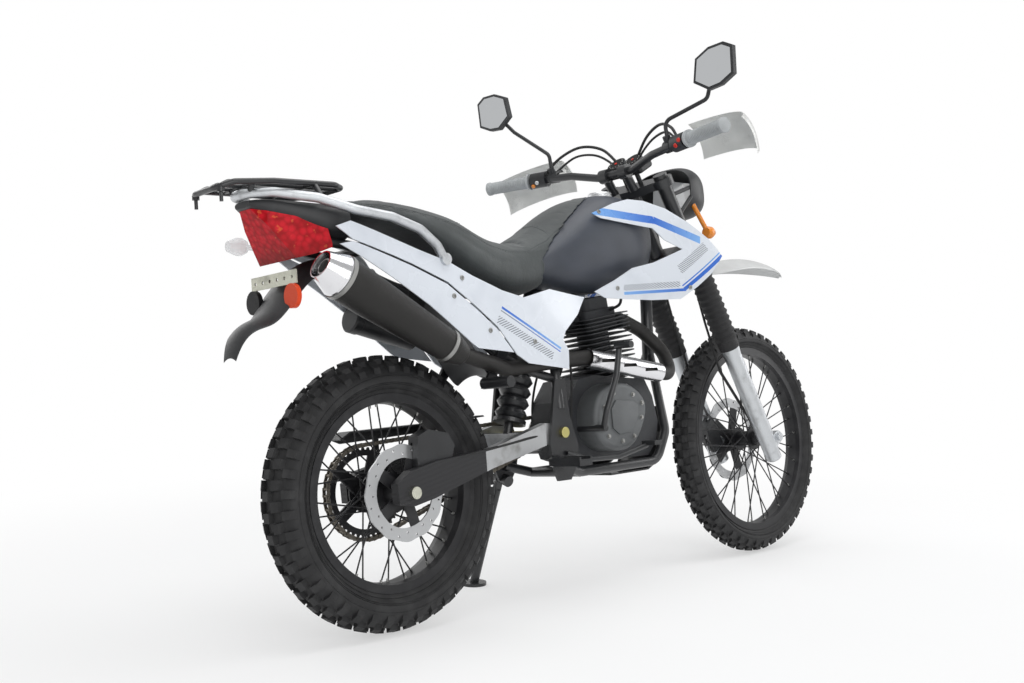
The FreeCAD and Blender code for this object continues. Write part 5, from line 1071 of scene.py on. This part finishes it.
def swollen(pad):
    """Blows the pad up under its cover, with no point moving further than the cap."""
    mesh = pad.data
    down = PARKED.to_3x3() @ Vector((0, 0, -1))
    normals = [vertex.normal.copy() for vertex in mesh.vertices]
    for vertex, normal in zip(mesh.vertices, normals):
        vertex.co -= normal * SEAT_SHRINK * MM
    rest = [vertex.co.copy() for vertex in mesh.vertices]
    loose = [max(0.0, min(1.0, PIN_START - normal.dot(down) * PIN_SLOPE)) for normal in normals]
    pins = pad.vertex_groups.new(name="pins")
    for index, share in enumerate(loose):
        pins.add([index], 1.0 - share, "REPLACE")
    cloth = pad.modifiers.new("cloth", "CLOTH")
    cloth.settings.quality = SEAT_QUALITY
    cloth.settings.use_pressure = True
    cloth.settings.uniform_pressure_force = SEAT_PRESSURE
    cloth.settings.effector_weights.gravity = 0.0
    cloth.settings.vertex_group_mass = "pins"
    cloth.settings.tension_stiffness = SEAT_TENSION
    cloth.settings.bending_stiffness = SEAT_BENDING
    cloth.point_cache.frame_start = 1
    cloth.point_cache.frame_end = SEAT_FRAMES
    scene = bpy.context.scene
    for frame_number in range(1, SEAT_FRAMES + 1):
        scene.frame_set(frame_number)
    evaluated = pad.evaluated_get(bpy.context.evaluated_depsgraph_get())
    moved = [vertex.co.copy() for vertex in evaluated.data.vertices]
    pad.modifiers.clear()
    scene.frame_set(1)
    cap = SEAT_SWELL * MM
    for vertex, start, end, share in zip(mesh.vertices, rest, moved, loose):
        step = (end - start) * share
        if step.length > cap:
            step *= cap / step.length
        vertex.co = start + step
    mesh.update()


def subdivided(pad):
    finer = pad.modifiers.new("finer", "SUBSURF")
    finer.levels = finer.render_levels = 1
    made = baked(pad)
    pad.modifiers.clear()
    pad.data = made


SIDE_SEAM = ((-96, 978), (-40, 978), (60, 966), (150, 950), (225, 926), (290, 900), (360, 888),
             (430, 890), (500, 918), (570, 964), (620, 1000))
SIDE_SEAM_Y = 400.0
CROSS_SEAMS, CROSS_SEAM_HALF, CROSS_SEAM_Z = (208.0, 520.0), 84.0, 1300.0
SEAM_RADIUS, SEAM_SINK, SEAM_STEP = 1.3, 0.4, 16.0
STITCH = [(0, -2.4), (0.5, -2.1), (0.7, -1.2), (0.7, 1.2), (0.5, 2.1), (0, 2.4)]
STITCH_PITCH, STITCH_ASIDE, STITCH_LIFT = 9.0, 5.0, 0.1


def even_steps(points, step):
    """Places along a broken line, one step apart."""
    places = []
    for a, b in zip(points, points[1:]):
        count = max(1, round((b - a).length / step))
        places += [a.lerp(b, i / count) for i in range(count)]
    return places + [points[-1]]


def sewn(name, skin, rays):
    """A raised seam where rays meet the cushion, with a row of stitches beside it."""
    whole = PARKED @ Matrix.Diagonal((MM, MM, MM, 1.0))
    back, turn = whole.inverted(), PARKED.to_3x3()
    line, outs = [], []
    for start, heading in rays:
        spot, normal, face, far = skin.ray_cast(whole @ start, (turn @ heading).normalized())
        if spot is not None:
            line.append(back @ spot)
            outs.append((turn.inverted() @ normal).normalized())
    cord = hose([spot - out * SEAM_SINK for spot, out in zip(line, outs)], SEAM_RADIUS, 8, 3)
    on_chassis(name, cord, VINYL)
    stitch = turned(STITCH, 8, (0, 0, 0), (0, 0, 1))
    spots = []
    for a, b, out in zip(line, line[1:], outs):
        way = (b - a).normalized()
        aside = way.cross(out).normalized() * STITCH_ASIDE
        count = max(1, round((b - a).length / STITCH_PITCH))
        spots += [(a.lerp(b, i / count) + aside + out * STITCH_LIFT, way) for i in range(count)]
    stitches = smoothed(at_spots(stitch, spots, SEAT_THREAD))
    on_chassis(name + "_stitches", stitches, SEAT_THREAD)


def seat():
    pad = remeshed("seat_cushion", NODES["seat"].data, SEAT_VOXEL)
    swollen(pad)
    subdivided(pad)
    pad.data.materials.clear()
    pad.data.materials.append(VINYL)
    for face in pad.data.polygons:
        face.use_smooth = True
    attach(pad, "chassis")
    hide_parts("seat")
    skin = BVHTree.FromPolygons([vertex.co for vertex in pad.data.vertices],
                                [face.vertices[:] for face in pad.data.polygons])
    for side, word in WORDS.items():
        points = even_steps([Vector((x, side * SIDE_SEAM_Y, z)) for x, z in SIDE_SEAM], SEAM_STEP)
        sewn(f"seat_side_seam_{word}", skin, [(point, Vector((0, -side, 0))) for point in points])
    for number, x in enumerate(CROSS_SEAMS):
        ends = [Vector((x, side * CROSS_SEAM_HALF, CROSS_SEAM_Z)) for side in (-1, 1)]
        points = even_steps(ends, SEAM_STEP)
        sewn(f"seat_cross_seam_{number}", skin, [(point, Vector((0, 0, -1))) for point in points])


SEAT_THREAD = plain("seat_thread", (0.12, 0.13, 0.13), 0.7)
seat()


# Wheels: spoke nipples

NIPPLE = [(0, -4), (3.6, -4), (3.6, 3), (2.9, 10), (0, 10)]
SPOKES, RIM_BED = 36, 6
for name, body, placement, radius, y in (
        ("front", "front_wheel", FRONT_WHEEL, FRONT_RIM - RIM_BED, 9.0),
        ("rear", "rear_wheel", REAR_WHEEL, REAR_RIM - RIM_BED, 11.0)):
    rings = []
    for half, side in enumerate((-1, 1)):
        angle = 2 * math.pi * half / SPOKES
        out = Vector((math.cos(angle), 0, math.sin(angle)))
        nipple = turned(NIPPLE, 8, out * radius + Vector((0, side * y, 0)), Vector((0, side * y, 0)))
        rings.append(ring_of(nipple, SPOKES // 2, STEEL))
    finished(f"{name}_spoke_nipples", joined("nipples", rings), body, STEEL, placement)


# Hoses, leads and cables that keep to one body

ENGINE_HOSES = (
    ("plug_lead", 4.0, ((762, -52, 742), (770, -84, 758), (752, -98, 800), (716, -80, 842),
                        (690, -40, 868))),
    ("carburettor_drain_left", 3.2, ((590, 20, 668), (580, 44, 610), (560, 58, 540), (548, 60, 470),
                                     (552, 50, 400))),
    ("carburettor_drain_right", 3.2, ((596, -20, 668), (580, -60, 620), (560, -84, 560),
                                      (548, -88, 480), (540, -86, 400))),
    ("breather_hose", 7.0, ((560, -30, 560), (536, -74, 600), (508, -96, 640), (470, -92, 690),
                            (440, -70, 742))),
    ("rear_brake_hose", 3.6, ((470, -92, 380), (430, -104, 420), (380, -112, 420), (300, -112, 410),
                              (200, -112, 398), (120, -110, 388), (60, -104, 380))),
)
BAR_LINES = (
    ("bar_cable", 3.4, ((-34, 246, 972), (6, 214, 990), (40, 168, 1004), (52, 110, 992),
                        (44, 60, 962), (30, 30, 928))),
    ("bar_hose", 4.2, ((-30, 250, 990), (14, 210, 1018), (52, 150, 1026), (62, 84, 1000),
                       (46, 34, 950))),
)
for name, radius, route in ENGINE_HOSES:
    on_chassis(name, hose(route, radius), RUBBER)
for side, word in WORDS.items():
    for name, radius, route in BAR_LINES:
        places = [mirrored_spot(place, side) for place in route]
        on_bars(f"{name}_{word}", hose(places, radius), RUBBER)


# Light, floor and camera

FLOOR_SIZE, FLOOR_DROP, PAPER = 30.0, 0.0005, (0.88, 0.885, 0.89)
NEAR_GLOW, WHITE_NEAR, WHITE_FAR = 0.5, 1.2, 2.6
SKY_LIGHT = 0.55


def stage():
    """A pale floor that fades to plain white with distance."""
    bpy.ops.mesh.primitive_plane_add(size=FLOOR_SIZE, location=(0, 0, -FLOOR_DROP))
    floor = bpy.context.object
    floor.name = "studio_floor"
    s = Shader("studio_floor")
    rays = s.tree.nodes.new("ShaderNodeLightPath")
    seen = Value(s, rays.outputs["Is Camera Ray"]).most(Value(s, rays.outputs["Is Glossy Ray"]))
    seen = seen.most(Value(s, rays.outputs["Is Transmission Ray"]))
    paper = s.node("ShaderNodeBsdfDiffuse", {}, {"Color": rgb(*PAPER)})
    glow = s.node("ShaderNodeEmission", {}, {"Color": rgb(1, 1, 1), "Strength": 1.0})
    here = s.node("ShaderNodeTexCoord", output="Object")
    far = s.node("ShaderNodeVectorMath", {"operation": "LENGTH"}, (here,), "Value")
    share = NEAR_GLOW + far.eased(WHITE_NEAR, WHITE_FAR) * (1 - NEAR_GLOW)
    both = s.node("ShaderNodeMixShader", {}, (seen * share, paper, glow))
    s.node("ShaderNodeOutputMaterial", {}, {"Surface": both})
    floor.data.materials.append(s.material)


def world():
    """An even sky that is seen as white and lights the scene more softly."""
    made = bpy.data.worlds.new("studio")
    bpy.context.scene.world = made
    made.use_nodes = True
    tree = made.node_tree
    tree.nodes.clear()
    rays = tree.nodes.new("ShaderNodeLightPath")
    most = tree.nodes.new("ShaderNodeMath")
    most.operation = "MAXIMUM"
    tree.links.new(rays.outputs["Is Camera Ray"], most.inputs[0])
    tree.links.new(rays.outputs["Is Transmission Ray"], most.inputs[1])
    level = tree.nodes.new("ShaderNodeMapRange")
    level.inputs["To Min"].default_value = SKY_LIGHT
    level.inputs["To Max"].default_value = 1.0
    tree.links.new(most.outputs[0], level.inputs["Value"])
    sky = tree.nodes.new("ShaderNodeBackground")
    sky.inputs["Color"].default_value = rgb(1.0, 1.0, 1.0)
    tree.links.new(level.outputs[0], sky.inputs["Strength"])
    end = tree.nodes.new("ShaderNodeOutputWorld")
    tree.links.new(sky.outputs[0], end.inputs["Surface"])


def softbox(name, place, target, size, power):
    lamp = bpy.data.lights.new(name, "AREA")
    lamp.shape = "RECTANGLE"
    lamp.size, lamp.size_y = size
    lamp.energy = power
    light = linked(name, lamp)
    light.location = place
    light.rotation_euler = (Vector(target) - Vector(place)).to_track_quat("-Z", "Y").to_euler()


CAMERA_PLACE = Vector((-1716.0, -2258.0, 759.0))
CAMERA_YAW, CAMERA_PITCH, CAMERA_ROLL = 47.23, -1.74, 0.03
SENSOR_WIDTH, FOCAL_PIXELS, PICTURE_PIXELS, CLIP_END = 36.0, 1227.0, 1024.0, 100.0


def camera():
    """The photograph's viewpoint, given in the frame that leans about the ground line."""
    place = CAMERA_PLACE * MM + park_shift
    yaw, pitch, roll = (math.radians(angle) for angle in (CAMERA_YAW, CAMERA_PITCH, CAMERA_ROLL))
    look = Vector((math.cos(yaw) * math.cos(pitch), math.sin(yaw) * math.cos(pitch), math.sin(pitch)))
    data = bpy.data.cameras.new("photo_camera")
    data.sensor_width = SENSOR_WIDTH
    data.lens = SENSOR_WIDTH * FOCAL_PIXELS / PICTURE_PIXELS
    data.clip_end = CLIP_END
    view = linked("photo_camera", data)
    turn = look.to_track_quat("-Z", "Y").to_matrix().to_4x4() @ Matrix.Rotation(roll, 4, "Z")
    view.matrix_world = Matrix.Translation(place) @ turn
    bpy.context.scene.camera = view


bpy.context.scene.view_settings.view_transform = "Standard"
stage()
world()
LAMPS = (
    ("overhead", (0.1, -0.3, 3.2), (0.1, 0.0, 0.6), (3.2, 2.2), 46.0),
    ("camera_side", (-1.6, -3.2, 1.7), (0.0, 0.0, 0.6), (2.4, 1.8), 34.0),
    ("ahead", (3.0, -1.2, 1.6), (0.3, 0.0, 0.6), (1.6, 1.6), 20.0),
    ("far_side", (-0.4, 3.2, 1.9), (0.0, 0.0, 0.6), (2.4, 1.8), 22.0),
)
for lamp in LAMPS:
    softbox(*lamp)
camera()
